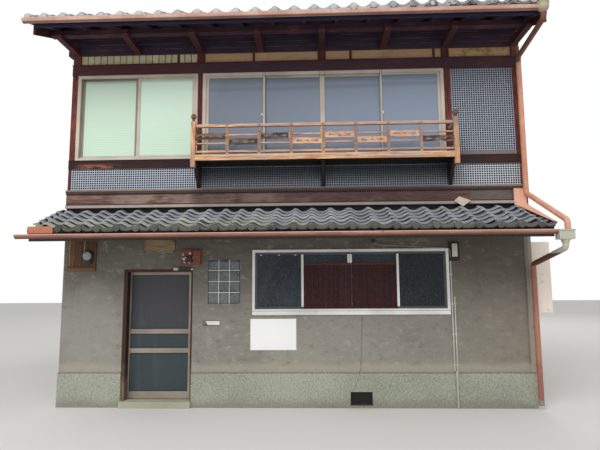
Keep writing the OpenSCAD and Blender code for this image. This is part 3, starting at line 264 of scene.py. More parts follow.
def timber(name, dark, light, run, worn=None, share=0.45, rough=0.72, extra=no_wear, depth=0.003):
    """Wood with fibres along one axis, weathered in patches."""
    f = Finish(name)
    along = f.at(*FIBRE[run])
    fibre = f.noise(2.4, 5, 0.62, along, 0.6)
    lines = f.patches(0.56, 0.70, 7.0, 3, 0.5, along)
    patch = f.noise(1.1, 3, 0.6, f.at(1, 1, 1, (3, 7, 1)))
    colour = f.mix(f.step(fibre, 0.30, 0.72), dark, light)
    if worn:
        bare = f.step(patch + 0.35 * fibre, 0.76 - 0.25 * share, 0.92 - 0.25 * share)
        colour = f.mix(bare * 0.8, colour, worn)
    colour = f.over(colour, (lines * 0.55, dark), *extra(f))
    height = fibre * 0.7 - lines * 0.6 + f.noise(40, 2) * 0.12
    return f.done(colour, f.step(patch, 0.2, 0.8) * 0.2 + (rough - 0.1), height, depth)


def speckled(name, base, pale, dark, scale, depth=0.002, extra=no_wear):
    """Rendered or cast mineral surface with grit and cloudy stains."""
    f = Finish(name)
    cloud = f.noise(0.9, 4, 0.6)
    grit = f.noise(scale, 3, 0.7)
    colour = f.mix(f.step(cloud, 0.3, 0.7), base, pale)
    colour = f.over(colour, (f.step(grit, 0.50, 0.72) * 0.45, dark),
                    (f.step(grit, 0.50, 0.30) * 0.35, pale), *extra(f))
    return f.done(colour, 0.9, grit * 0.7 + cloud * 0.5, depth)


def crack(f, points, width):
    """1 along a line of points in X and Z."""
    near = None
    for (x0, z0), (x1, z1) in zip(points, points[1:]):
        run, rise = x1 - x0, z1 - z0
        long = run * run + rise * rise
        wander = (f.noise(9, 3) - 0.5) * 0.035
        share = f.node("Clamp", {}, {0: ((f.x - x0) * run + (f.z - z0) * rise) / long})
        off_x = f.x - x0 - share * run + wander
        off_z = f.z - z0 - share * rise
        away = (off_x * off_x + off_z * off_z).math("SQRT")
        near = away if near is None else near.math("MINIMUM", away)
    return f.step(near, width, width * 0.3)


def front_plaster(f):
    """Painted shade under the pent roof, lighter low down, more at the upper right, with a pale arch left
    of the door and trowel marks.
    """
    # Painted shade: the wall darkens upwards towards the pent roof's eave.
    pent_eave_shade = f.step(f.ragged(f.z, 0.8, 0.5), 1.05, 2.45)
    trowel = f.noise(2.2, 4, 0.6, (1.0, 1, 4.5), 0.8)
    rubbed = f.noise(7, 5, 0.72, (1, 1, 1.6))
    scrape = f.patches(0.66, 0.72, 3.2, 4, 0.7, (1, 1, 14)) * f.step(f.z, 1.5, 1.0)
    off_x = (f.x + 2.93) / 0.40
    off_z = (f.z - 1.22).most(0.0) / 0.62
    arch = f.step(off_x * off_x + off_z * off_z, 1.15, 0.55)
    brown = f.step(f.ragged(f.x, 1.2, 0.6), 1.9, 2.9)
    corner = f.step(f.ragged(f.x, 2, 0.03), 3.325, 3.345)
    splash = f.window(f.ragged(f.z, 3, 0.12), 0.47, 0.60, 0.05)
    split = crack(f, [(0.992, 1.26), (0.963, 0.557), (0.866, 0.229)], 0.006)
    seams = f.joints(f.x, 1.88, 0.006, 0.98) * f.step(f.z, 2.0, 2.4) * 0.4
    drip = f.patches(0.58, 0.74, 3.4, 3, 0.6, (7, 1, 0.5)) * f.step(f.z, 0.6, 1.9)
    # Painted shade over the upper right of the wall.
    right_top_shade = f.step(f.ragged(f.x, 1.1, 0.8), 1.6, 2.6) * f.step(f.z, 1.3, 2.2)
    return [(pent_eave_shade * 0.72, "#4c453e"), (f.step(trowel, 0.45, 0.75) * 0.26, "#a19c91"),
            (f.step(rubbed, 0.54, 0.68) * 0.4, "#bab5a9"), (f.step(rubbed, 0.45, 0.32) * 0.4, "#5a544b"),
            (scrape * 0.5, "#c9c3b4"), (arch * f.step(f.x, -2.40, -2.55) * 0.5, "#9b9890"),
            (brown * 0.45, "#746b5c"), (corner * 0.65, "#b3a99c"),
            (f.window(f.x, 3.305, 3.325, 0.006) * 0.3, "#3e372f"), (splash * 0.6, "#aca594"),
            (drip * 0.25, "#544d45"), (right_top_shade * 0.3, "#38321f"), (split.most(seams) * 0.8, "#3a352f")]


def dado(f):
    """A lighter top edge, damp low down, and painted shade, near black, in the vent's recess."""
    band = f.step(f.z, 0.462, 0.474)
    stipple = f.noise(38, 3, 0.65)
    wet = f.step(f.ragged(f.z, 2.5, 0.16), 0.16, 0.02)
    split = crack(f, [(0.963, 0.557), (0.866, 0.229)], 0.005)
    # Painted shade: near black inside the vent's recess.
    vent = f.window(f.x, 0.81, 1.118, 0.004) * f.window(f.z, 0.033, 0.217, 0.004)
    return [(band * 0.55, "#4b4a44"), (f.step(stipple, 0.52, 0.64) * 0.42, "#c5c8b8"),
            (f.step(stipple, 0.47, 0.36) * 0.38, "#6b7063"), (wet * 0.45, "#6f7062"),
            (split * 0.7, "#3b3a33"), (vent * 0.93, "#1b1c1c")]


def mosaic():
    """Small glazed tiles with white joints, in deep shade under the balcony."""
    f = Finish("mosaic", Specular_IOR_Level=0.3)
    pitch, joint = 0.0343, 0.0076
    gap = f.joints(f.x, pitch, joint).most(f.joints(f.z, pitch, joint, 0.004))
    which = f.per_board(f.x, pitch) * 0.5 + f.per_board(f.z + f.per_board(f.x, pitch) * 3.43, pitch) * 0.5
    glaze = f.ramp(which, (0.0, "#0a0f1e"), (0.45, "#121a2c"), (0.75, "#1f2940"), (1.0, "#38445e"))
    shade = f.window(f.x, *BALCONY, 0.03) * f.step(f.z, 3.47, 3.455)
    deep = shade * f.step(f.z, 3.14, 3.42)
    glaze = f.over(glaze, (f.patches(0.35, 0.7, 1.4, 3) * 0.4, "#1a222d"), (shade * 0.6, "#0b1017"))
    left = f.step(f.x, -1.40, -1.45)
    grout = f.mix(f.noise(30, 3), "#cdd3db", "#f0f3f8")
    grout = f.over(
        grout, (left * 0.28, "#a3aec6"), (f.step(f.z, 3.55, 3.65) * 0.55, "#98a1b2"),
        (shade * 0.6, "#68707f"), (deep * 0.8, "#1f2430"))
    colour = f.mix(gap, glaze, grout)
    return f.done(colour, 0.3 + gap * 0.6, gap * -1.0 + f.noise(80, 2) * 0.1, 0.0018)


def metal_paint(name, base, chalk, rust, share, extra=no_wear):
    """Faded paint on sheet metal, chalky in streaks and rubbed in places."""
    f = Finish(name)
    cloud = f.noise(2.3, 4, 0.6)
    streak = f.noise(1.6, 4, 0.6, (9, 9, 1.2))
    colour = f.mix(f.step(cloud, 0.35, 0.7) * share, base, chalk)
    spots = f.step(f.noise(17, 5, 0.7) + cloud * 0.3, 0.74, 0.86)
    colour = f.over(colour, (f.step(streak, 0.5, 0.75) * share, chalk), (spots * 0.7, rust), *extra(f))
    rough = f.step(cloud, 0.3, 0.8) * 0.25 + 0.5
    return f.done(colour, rough, f.noise(34, 3) * 0.4 + streak * 0.3, 0.0012)


def roof_tile(name, stops, moss_and_eave_shade=0.0, lap_shade=0.0, dusty=0.0, rim="#b3b4b6", band=(0.48, 0.62)):
    """Smoked clay, each tile of its own tone; painted shade where the next one laps over it and at the
    pent eave, painted highlight on front edges.
    """
    f = Finish(name)
    tone = f.tone()
    along = f.tone("along")
    cloud = f.noise(3.2, 4, 0.6)
    grain = f.noise(55, 4, 0.65)
    colour = f.ramp(tone, *stops)
    colour = f.mix(f.step(cloud, 0.35, 0.72) * 0.4, colour, rim)
    if moss_and_eave_shade:
        reach = f.ragged(f.z, 1.6, 0.2) + f.step(f.x, -0.2, 1.4) * 0.14
        patch = f.step(f.noise(1.9, 3, 0.6) + tone * 0.22, 0.52, 0.66) * f.step(reach, 2.64, 2.53)
        blue = f.step(f.ragged(f.x, 1.1, 1.4), 0.2, 1.6).most(f.step(f.z, 2.62, 2.76))
        colour = f.over(
            colour, (patch * moss_and_eave_shade, f.mix(cloud, "#6f7350", "#bcc08f")),
            (blue * f.step(f.noise(5, 3) + tone * 0.3, 0.45, 0.75) * 0.6, "#4f586e"))
    if dusty:
        grey = f.step(f.noise(2.6, 3) + tone * 0.3, 0.5, 0.75)
        sooty = f.patches(0.44, 0.56, 5, 4, 0.7) * f.step(f.x, 1.2, 1.8)
        colour = f.over(colour, (grey * dusty, "#b4b6b2"), (sooty * 0.75, "#3d3a3a"))
    colour = f.over(
        colour, (f.patches(0.66, 0.74, 11, 5, 0.7) * 0.35, "#4a4540"),
        (f.step(grain, 0.55, 0.8) * 0.35, "#3e4247"))
    if lap_shade:
        # Painted highlight on each tile's front edge, painted shade where the next tile laps over, and
        # painted shade along the pent eave.
        eave = f.step(abs(f.z - 2.45), 0.05, 0.03) * f.step(f.y, -4.562, -4.567)
        colour = f.over(
            colour, (f.step(along, 0.09, 0.01) * 0.65, rim), (f.step(along, *band) * lap_shade, "#0b0c10"),
            (eave * moss_and_eave_shade, "#4b4c46"))
    return f.done(colour, 0.62 + cloud * 0.2, grain * 0.5 + cloud * 0.5, 0.0025)


def frame_metal(name, base, pale, dirt=0.25, extra=no_wear):
    """Dull sheet metal with a fine brushed grain and a little dirt."""
    f = Finish(name, Specular_IOR_Level=0.5, Metallic=0.35)
    brush = f.noise(2.2, 3, 0.5)
    spots = f.patches(0.56, 0.8, 1.9, 5, 0.65)
    colour = f.mix(f.step(brush, 0.3, 0.7), base, pale)
    colour = f.over(colour, (spots * dirt, "#6d665b"), *extra(f))
    return f.done(colour, brush * 0.2 + 0.32, f.noise(90, 2) * 0.3, 0.0006)


def plain_paint(name, base, dark, rough, extra=no_wear):
    f = Finish(name)
    cloud = f.noise(6, 4, 0.6)
    colour = f.mix(f.step(cloud, 0.35, 0.75) * 0.5, base, dark)
    return f.done(f.over(colour, *extra(f)), rough, f.noise(60, 3), 0.0006)


def upper_pane():
    """Mint blind behind the left window's glass, with painted light and shade; grey-blue figured glass in
    the long one, a painted sky reflection.
    """
    f = Finish("upper_panes", Coat_Weight=0.6, Coat_Roughness=0.06)
    slats = f.z.math("PINGPONG", 0.0135)
    lines = f.step(slats, 0.0035, 0.0005) * f.step(f.z, 4.55, 3.9)
    # Painted light: the blind brightens towards the top; painted shade darkens the left pane's upper part
    # and the blind's top edge.
    high = f.step(f.ragged(f.z, 0.8, 0.5, 2), 3.7, 4.8)
    mint = f.mix(high * 0.6, "#cbe4ce", "#e4fae8")
    mint = f.over(
        mint, (high * f.step(f.x, -2.35, -2.37) * 0.35, "#b0c8b0"), (lines * 0.5, "#8fb39b"),
        (f.step(f.z, 4.80, 4.86) * 0.6, "#93a595"))
    # Painted reflection of the sky on the long window, darker towards the top and with pale blurs.
    sky_reflection = f.ramp(f.step(f.x, -1.4, 2.3, "LINEAR"), (0.0, "#6f7a89"), (0.3, "#7a8697"), (0.62, "#8593a8"),
                 (1.0, "#8b9ab1"))
    band = f.window(f.ragged(f.z, 0.9, 0.05, 2) - f.x * 0.012, 4.66, 4.72, 0.03)
    sky_reflection = f.over(
        sky_reflection, (f.step(f.ragged(f.z, 0.7, 0.6), 3.6, 4.8) * 0.3, "#6b7686"), (band * 0.35, "#566070"),
        (f.step(f.z, 4.74, 4.82) * 0.4, "#4d5664"),
        (f.patches(0.55, 0.8, 2.0, 3, 0.5, (1, 1, 0.3)) * 0.2, "#9aa5b3"))
    colour = f.mix(f.step(f.x, -1.39, -1.40), sky_reflection, mint)
    colour = f.mix(f.step(f.y, 0.0, 0.1), colour, "#59656b")
    figure = f.cells(130, f.spot)
    return f.done(colour, 0.22, figure * f.step(f.x, -1.40, -1.39), 0.0008)


def door_pane():
    """Frosted pane, violet-grey at eye height and blue-green low down."""
    f = Finish("door_glass", Specular_IOR_Level=0.35)
    cell = f.cells(260, f.at(1, 1, 0.6))
    cloud = f.noise(1.6, 3)
    low = f.mix(cloud, "#343f42", "#414c4f")
    colour = f.mix(f.step(f.z + (cloud - 0.5) * 0.4, 0.8, 1.5), low, "#4a494f")
    colour = f.mix(f.patches(0.5, 0.7, 2.0, 3, 0.5, (5, 1, 0.5)) * 0.3, colour, "#59616a")
    return f.done(colour, 0.35 + cell * 0.25, cell, 0.001)


# Making shapes

def edges_of(verts):
    return {e for v in verts for e in v.link_edges}


def soften(bm, edges, width):
    bmesh.ops.bevel(bm, geom=list(edges), offset=width, offset_type="OFFSET", affect="EDGES", segments=2,
                    profile=0.5, material=-1)


def block(bm, low, high, bevel=0.0):
    """Box between two corners, its edges rounded off."""
    low, high = Vector(low), Vector(high)
    place = Matrix.Translation((low + high) / 2) @ Matrix.Diagonal((*(high - low), 1))
    verts = bmesh.ops.create_cube(bm, size=1, matrix=place)["verts"]
    if bevel:
        soften(bm, edges_of(verts), bevel)


def blocks_of(rows):
    """A new shape of several blocks, each row its low corner, its high corner and its bevel."""
    bm = bmesh.new()
    for row in rows:
        block(bm, row[:3], row[3:6], *row[6:])
    return bm


def rod(bm, start, end, radius, sides=16, tip=None, bevel=0.0):
    """Round bar or cone between two points."""
    start, end = Vector(start), Vector(end)
    way = end - start
    place = Matrix.Translation((start + end) / 2) @ way.to_track_quat("Z", "Y").to_matrix().to_4x4()
    verts = bmesh.ops.create_cone(bm, cap_ends=True, segments=sides, radius1=radius, depth=way.length,
                                  radius2=radius if tip is None else tip, matrix=place)["verts"]
    if bevel:
        soften(bm, [e for e in edges_of(verts) if len(e.link_faces) == 2
                    and max(len(f.verts) for f in e.link_faces) > 4], bevel)


def thicken(bm, faces, move):
    """Raises faces by a move, with walls between."""
    raised = bmesh.ops.extrude_face_region(bm, geom=faces)["geom"]
    bmesh.ops.translate(bm, vec=move, verts=[g for g in raised if isinstance(g, bmesh.types.BMVert)])
    bmesh.ops.recalc_face_normals(bm, faces=bm.faces[:])


def half_band(bm, middle, axis, inner, outer, width):
    """Band bent half way round an axis, as a strap or a collar is."""
    middle, axis = Vector(middle), Vector(axis)
    corners = [middle + Vector((0, r, 0)) + axis * w for r, w in
               ((inner, -width / 2), (outer, -width / 2), (outer, width / 2), (inner, width / 2))]
    face = bm.faces.new([bm.verts.new(c) for c in corners])
    bmesh.ops.spin(bm, geom=[face], cent=middle, axis=axis, angle=math.pi, steps=12, use_merge=False,
                   use_duplicate=False)
    bmesh.ops.recalc_face_normals(bm, faces=bm.faces[:])


def kept(bm, name):
    mesh = bpy.data.meshes.new(name)
    bm.to_mesh(mesh)
    bm.free()
    return mesh


def publish(name, mesh, finish, replaces=(), body="house"):
    """Brings a mesh into the scene with its finish, its body and what it stands for."""
    mesh.materials.append(finish)
    made = bpy.data.objects.new(name, mesh)
    scene.collection.objects.link(made)
    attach(made, body)
    if replaces:
        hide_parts(*replaces)


def piece(name, bm, finish, replaces=(), body="house", smooth=35):
    mesh = kept(bm, name)
    if smooth:
        mesh.shade_smooth()
        mesh.set_sharp_from_angle(angle=math.radians(smooth))
    publish(name, mesh, finish, replaces, body)


def wire(name, radius, *points):
    """Thin grey cable along a smooth run of points, as a mesh."""
    data = bpy.data.curves.new(name, "CURVE")
    data.dimensions = "3D"
    data.bevel_depth = radius
    data.bevel_resolution = 3
    data.resolution_u = 6
    spline = data.splines.new("NURBS")
    spline.points.add(len(points) - 1)
    for point, place in zip(spline.points, points):
        point.co = (*place, 1)
    spline.use_endpoint_u = True
    spline.order_u = 3
    data.use_fill_caps = True
    drawn = bpy.data.objects.new(name + "_line", data)
    scene.collection.objects.link(drawn)
    bpy.context.view_layer.update()
    mesh = bpy.data.meshes.new_from_object(drawn.evaluated_get(bpy.context.evaluated_depsgraph_get()))
    bpy.data.objects.remove(drawn)
    mesh.materials.clear()
    mesh.shade_smooth()
    publish(name, mesh, cable_grey)


def stamp(bm, mesh, place, tone):
    """One more copy of a small mesh, with a tone of its own and its place along the tile."""
    first = len(bm.verts)
    bm.from_mesh(mesh)
    bm.verts.ensure_lookup_table()
    fresh = bm.verts[first:]
    tones, along = bm.verts.layers.float["tone"], bm.verts.layers.float["along"]
    for v in fresh:
        v[tones] = tone
        v[along] = v.co.y / LONG
    bmesh.ops.transform(bm, matrix=place, verts=fresh)


def toned():
    bm = bmesh.new()
    bm.verts.layers.float.new("tone")
    bm.verts.layers.float.new("along")
    return bm


def add(bm, tone, shape, *values, place=Matrix()):
    """One more shape, made by a function from its values, with a tone of its own."""
    part = bmesh.new()
    shape(part, *values)
    stamp(bm, kept(part, "part"), place, tone)


# Roof tiles

THICK = 0.018
LONG = 0.30


def wave(t, high, lift=0.006):
    """Height of a pantile across its width: a roll at the left, then a wide trough."""
    if t < 0.14:
        turn = (t - 0.14) / 1.06
    elif t < 0.6:
        turn = (t - 0.14) / 0.92
    else:
        turn = 0.5 + (t - 0.6) / 1.08
    roll = max(0.0, 0.5 + 0.5 * math.cos(2 * math.pi * turn)) ** 1.3
    return high * roll + lift * max(0.0, 1 - t / 0.3)


def pantile(high, parts, steps=1, thick=THICK, long=1.0, pitch=0.236, base=1.0):
    """Tile one unit wide: X across, Y up the slope from its front edge, Z out of the roof."""
    bm = bmesh.new()
    bmesh.ops.create_grid(bm, x_segments=parts, y_segments=steps, size=0.5)
    front = thick * LONG / pitch
    for v in bm.verts:
        t, u = v.co.x + 0.5, (v.co.y + 0.5) * long
        v.co = (t * 1.015, u * LONG, thick + wave(t, high) + front * (base - u))
    thicken(bm, bm.faces[:], (0, 0, -thick))
    return kept(bm, "pantile")


def eave_disc(radius):
    """Round end of an eave tile, facing the street, with a raised rim."""
    bm = bmesh.new()
    deep = 0.032
    rod(bm, (0, 0.012, 0), (0, -deep, 0), radius, 24)
    face = min(bm.faces, key=lambda f: f.calc_center_median().y)
    for inset, sink in ((0.22, 0.005), (0.2, -0.004)):
        bmesh.ops.inset_region(bm, faces=[face], thickness=radius * inset, depth=0)
        bmesh.ops.translate(bm, vec=(0, sink, 0), verts=list(face.verts))
    soften(bm, [e for e in bm.edges if all(abs(v.co.y + deep) < 1e-5 and v.co.length > radius
                                           for v in e.verts)], 0.005)
    return kept(bm, "disc")


def apron(high, drop, parts):
    """Hanging lip under an eave tile's front edge, one unit wide."""
    bm = bmesh.new()
    bmesh.ops.create_grid(bm, x_segments=parts, y_segments=2, size=0.5)
    for v in bm.verts:
        t, u = v.co.x + 0.5, v.co.y + 0.5
        top = wave(t, high, 0) + 0.022
        low = -drop + 0.30 * wave(t, high, 0)
        v.co = (t, -0.004 - 0.006 * math.sin(math.pi * u), low + (top - low) * u)
    thicken(bm, bm.faces[:], (0, 0.017, 0))
    return kept(bm, "apron")


def on_slope(x, y, z, slope, up, wide, turn=0.0, pitch=0.0, rise=0.0):
    """Place on a roof: up is the way along the slope from its front edge."""
    angle = math.atan(slope)
    spot = Matrix.Translation((x, y + up * math.cos(angle), z + up * math.sin(angle)))
    return (spot @ Matrix.Rotation(angle, 4, "X") @ Matrix.Translation((0, 0, rise))
            @ Matrix.Rotation(turn, 4, "Z") @ Matrix.Rotation(pitch, 4, "X")
            @ Matrix.Diagonal((wide, 1, 1, 1)))


def lay_tiles(bm, tile, columns, rows, pitch, eave, rise=0.0, loose=1.0, skip=(), flip=Matrix(), first=0,
              dip=None):
    """Rows of tiles up a slope; dip gives how far each front edge hangs."""
    y, z, slope = eave
    for row in range(first, first + rows):
        for number, (x, wide) in enumerate(columns):
            if (row, number) in skip:
                continue
            mess = loose * (1 + 2.2 * max(0.0, (x - 1.2) / 2.2) * (loose > 1))
            drop, after = (dip(x, row), dip(x, row + 1)) if dip else (0.0, 0.0)
            lift = luck.choice((0, 0, 0.012, 0.022)) if dip and x > 1.45 and row else 0.0
            place = on_slope(x + luck.uniform(-0.003, 0.003) * mess, y, z, slope,
                             row * pitch + luck.uniform(-0.004, 0.004) * mess, wide,
                             luck.uniform(-0.008, 0.008) * mess,
                             (drop - after) / pitch + luck.uniform(-0.005, 0.005) * mess,
                             rise - drop + lift + luck.uniform(-0.001, 0.0015) * mess)
            stamp(bm, tile, flip @ place, luck.random())


def edge_tiles(bm, x, rows, pitch, eave, rise, flip=Matrix(), drop=0.07):
    """Flanges that hang down along a verge."""
    y, z, slope = eave
    side = bmesh.new()
    block(side, (0, 0, -drop), (0.016, LONG, 0.045), 0.004)
    mesh = kept(side, "flange")
    for row in range(rows):
        place = on_slope(x, y, z, slope, row * pitch, 1, 0, -THICK / LONG * 1.2, rise + 0.02)
        stamp(bm, mesh, flip @ place, luck.random())


TURNED = Matrix.Rotation(math.pi, 4, "Z")
MAIN_EAVE = (-4.66, 5.363, 0.40)
PENT_EAVE = (-4.57, 2.4046, 0.42)
MAIN_ROWS, MAIN_PITCH = 21, 5.019 / 21
PENT_ROWS, PENT_PITCH = 6, 0.9436 / 6


def main_columns(back=False):
    """Left edge and width of each row of tiles; at the rear they are counted from the turned roof."""
    left, right, wide, count = 3.575, 3.42, 0.2627, 26
    starts = [-left] + [-3.355 + wide * k for k in range(count)]
    ends = starts[1:] + [right]
    if back:
        starts = [-right] + [3.2812 - wide * k for k in reversed(range(count))]
        ends = starts[1:] + [left]
    return [(a, b - a) for a, b in zip(starts, ends) if b - a > 0.02]


def pent_columns():
    discs = [-3.018, -2.746, -2.501, -2.248, -1.986, -1.743, -1.475, -1.191, -0.95, -0.713, -0.481, -0.2,
             0.071, 0.299, 0.562, 0.822, 1.107, 1.381, 1.62, 1.892, 2.156, 2.419, 2.691, 2.957, 3.21]
    starts = [-3.44, -3.312] + [x - 0.036 for x in discs]
    return [(a, b - a) for a, b in zip(starts, starts[1:] + [3.38])]


def dress_eave(bm, columns, eave, disc, lip, centre, lip_z, skip=0, flip=Matrix(), dip=None):
    """A hanging lip and a round end on each tile of the lowest row."""
    y = eave[0]
    for number, (x, wide) in enumerate(columns):
        if number < skip:
            continue
        tone = luck.random()
        drop = luck.uniform(-0.004, 0.004) - (1.15 * dip(x, 0) if dip else 0.0)
        under = Matrix.Translation((x, y, lip_z + drop)) @ Matrix.Diagonal((wide, 1, 1, 1))
        stamp(bm, lip, flip @ under, tone)
        if wide > 0.15:
            spin = Matrix.Rotation(luck.uniform(-0.3, 0.3), 4, "Y")
            spot = (x + 0.14 * wide, y - 0.008, centre + drop)
            stamp(bm, disc, flip @ Matrix.Translation(spot) @ spin, tone * 0.8)


def eave_dip(x, row):
    """The first rows of the main eave hang, more so towards the left."""
    t = min(1.0, max(0.0, (x + 1.0) / 3.2))
    return max(0.0, 1 - 0.34 * row) * 0.046 * (1 - t * t * (3 - 2 * t))


def rear_dip(x, row):
    return 0.02 if row == 0 else 0.0


def tile_roofs():
    pent, pent_ends = toned(), toned()
    short = pantile(0.048, 16, 4, 0.022, 0.72, PENT_PITCH, 0.72)
    lay_tiles(pent, short, pent_columns(), PENT_ROWS, PENT_PITCH, PENT_EAVE, -0.006, 1.6, ((0, 0), (0, 1)))
    dress_eave(pent_ends, pent_columns(), PENT_EAVE, eave_disc(0.047), apron(0.048, 0.026, 12), 2.461,
               2.446, skip=2)
    edge_tiles(pent, -3.44, PENT_ROWS, PENT_PITCH, PENT_EAVE, -0.02, drop=0.05)
    piece("pent_tile_rows", pent, tile_pent, ["pent_tiles"])
    piece("pent_tile_ends", pent_ends, tile_ends)
    plain = pantile(0.056, 10)
    disc, lip = eave_disc(0.044), apron(0.06, 0.026, 10)
    for name, back, node, flip in (("front", False, "roof_tiles_front", Matrix()),
                                   ("rear", True, "roof_tiles_rear", TURNED)):
        field, ends = toned(), toned()
        columns = main_columns(back)
        dip = rear_dip if back else eave_dip
        slope = (MAIN_PITCH, MAIN_EAVE, -0.002)
        lay_tiles(field, plain, columns, 3, *slope, 1.3, flip=flip, dip=dip)
        lay_tiles(field, plain, columns, MAIN_ROWS - 4, *slope, flip=flip, first=3)
        lay_tiles(field, pantile(0.056, 10, long=0.72), columns, 1, *slope, flip=flip, first=MAIN_ROWS - 1)
        dress_eave(ends, columns, MAIN_EAVE, disc, lip, 5.411, 5.395, flip=flip, dip=dip)
        left, right = columns[0][0], columns[-1][0] + columns[-1][1]
        edge_tiles(field, left, MAIN_ROWS, MAIN_PITCH, MAIN_EAVE, -0.02, flip)
        edge_tiles(field, right - 0.016, MAIN_ROWS, MAIN_PITCH, MAIN_EAVE, -0.02, flip)
        piece("main_tile_rows_" + name, field, tile_main, [node])
        piece("main_tile_ends_" + name, ends, tile_caps)


def ridge():
    """Courses of flat tiles under a row of round caps, with a shield tile at each end."""
    bm = toned()
    left, right, joint, top = -3.555, 3.405, 0.0015, 7.459
    for course in range(4):
        wide = 0.115 - 0.011 * course
        low = 7.322 + 0.034 * course
        at = left - 0.5 * LONG * (course % 2)
        while at < right:
            start, end = max(at, left) + joint, min(at + LONG, right) - joint
            if end - start > 0.03:
                add(bm, luck.random(), block, (start, -wide, low), (end, wide, low + 0.029), 0.006)
            at += LONG
    for number in range(27):
        part = bmesh.new()
        start = -3.565 + number * 0.2578
        half_band(part, (start + 0.131, 0, top), (1, 0, 0), 0.048, 0.062, 0.262)
        half_band(part, (start + 0.012, 0, top), (1, 0, 0), 0.05, 0.069, 0.026)
        stamp(bm, kept(part, "cap"), Matrix(), luck.random())
    add(bm, 0.2, block, (-3.55, -0.085, 7.235), (3.40, 0.085, 7.335))
    add(bm, 0.2, block, (-3.55, -0.05, 7.40), (3.40, 0.05, 7.47))
    shield = [(-0.15, 7.27), (-0.155, 7.33), (-0.12, 7.38), (-0.125, 7.44), (-0.085, 7.49), (-0.04, 7.520),
              (0, 7.528), (0.04, 7.520), (0.085, 7.49), (0.125, 7.44), (0.12, 7.38), (0.155, 7.33),
              (0.15, 7.27), (0.06, 7.30), (0, 7.305), (-0.06, 7.30)]
    for x, face, out in ((-3.590, -3.596, -3.590), (3.370, 3.420, 3.426)):
        part = bmesh.new()
        sheet = part.faces.new([part.verts.new((x, y, z)) for y, z in shield])
        thicken(part, [sheet], (0.05, 0, 0))
        soften(part, part.edges, 0.008)
        rod(part, (face, 0, 7.42), (out, 0, 7.42), 0.05, 24, 0.04)
        stamp(bm, kept(part, "shield"), Matrix(), 0.4)
    piece("ridge_courses", bm, tile_main, ["ridge_tiles"])


# Finishes of this house

def dress(finish, *names):
    """One finish for every face of these nodes."""
    for name in names:
        slots = nodes[name].data.materials
        for i in range(len(slots)):
            slots[i] = finish
    return finish


SMOKED = ((0.0, "#4c525a"), (0.35, "#676d74"), (0.7, "#6b7074"), (1.0, "#8d9292"))
LILAC = ((0.0, "#41424a"), (0.3, "#62636b"), (0.65, "#8a8b8d"), (1.0, "#cfd0cc"))
SOOTY = ((0.0, "#3a3a38"), (0.5, "#4f4f4b"), (1.0, "#64635c"))
PALE = ((0.0, "#9a9fa2"), (0.5, "#b4b9bb"), (1.0, "#d0d3d3"))
tile_main = roof_tile("smoked_roof_tile", SMOKED, lap_shade=0.6)
tile_pent = roof_tile("mossy_pent_tile", LILAC, moss_and_eave_shade=0.8, lap_shade=1.0, rim="#d6d7da", band=(0.25, 0.38))
tile_ends = roof_tile("sooty_tile_ends", SOOTY, rim="#7b7a72")
tile_caps = roof_tile("pale_tile_caps", PALE, dusty=0.6)
dress(speckled("grey_plaster", "#87837b", "#9a968c", "#6b675f", 85, extra=front_plaster),
      "front_wall_left", "front_wall_right", "wall_over_door")
dress(speckled("gable_plaster", "#8b8377", "#9c9488", "#6f685d", 60), "rear_wall")
dress(speckled("stippled_cement", "#949889", "#abae9e", "#5c6155", 46, depth=0.006, extra=dado),
      "plinth_front", "plinth_sides")
dress(speckled("worn_concrete", "#aaa593", "#bdb8a5", "#807b6b", 50), "ground_slab", "threshold")
dress(mosaic(), "mosaic_panels")
dress(timber("stained_posts", "#381719", "#6e2f2c", "z", "#8a4a3c", 0.25), "upper_posts")


def beam_wear_and_shade(f):
    """Sill worn to bare red at the left, darkened by painted shade that is near black under the balcony;
    painted shade below the rain board, dark head board, dusty ledges.
    """
    # Painted shade over the sill, darkest along its top.
    sill = f.window(f.z, 3.40, 3.605, 0.003)
    shade = f.window(f.z, 3.575, 3.61, 0.006) * f.step(f.x, 2.36, 2.30)
    bare = f.window(f.x, -3.22, -2.62, 0.1) * f.window(f.z, 3.472, 3.530, 0.02)
    bare = bare * f.patches(0.40, 0.58, 5, 4, 0.6, (1, 1, 3))
    # Painted shade, near black, on the sill under the balcony.
    under = f.window(f.x, *BALCONY, 0.03) * f.step(f.z, 3.61, 3.60)
    head = f.window(f.z, 4.93, 5.09, 0.004)
    # Painted shade, near black, on the beam below the rain board.
    gap = f.step(f.z, 2.94, 2.93)
    dusty = f.window(f.x, 2.37, 3.31, 0.005) * f.window(f.z, 3.602, 3.654, 0.003)
    return [(sill * 0.75, "#1f1416"), (shade * 0.8, "#0f0a0c"), (bare * 0.85, "#a85a48"),
            (under * 0.92, "#09080b"), (head * 0.5, f.mix(f.step(f.x, -1.6, -1.2), "#572c33", "#3d2a3c")),
            (gap * 0.92, "#0b090b"), (dusty * 0.7, "#8a837c")]


dress(timber("stained_beams", "#2c1416", "#522621", "x", "#6b3a30", 0.2, extra=beam_wear_and_shade), "front_beams",
      "ridge_beam")


def plate_lines(f):
    """Narrow pale ledges along the plate."""
    ledges = f.joints(f.z, 0.082, 0.009, 5.345) * f.window(f.z, 5.30, 5.62, 0.01)
    broken = f.patches(0.42, 0.6, 2.2, 3, 0.6, (1, 1, 12))
    return [(ledges * broken * 0.6, "#7d7484")]


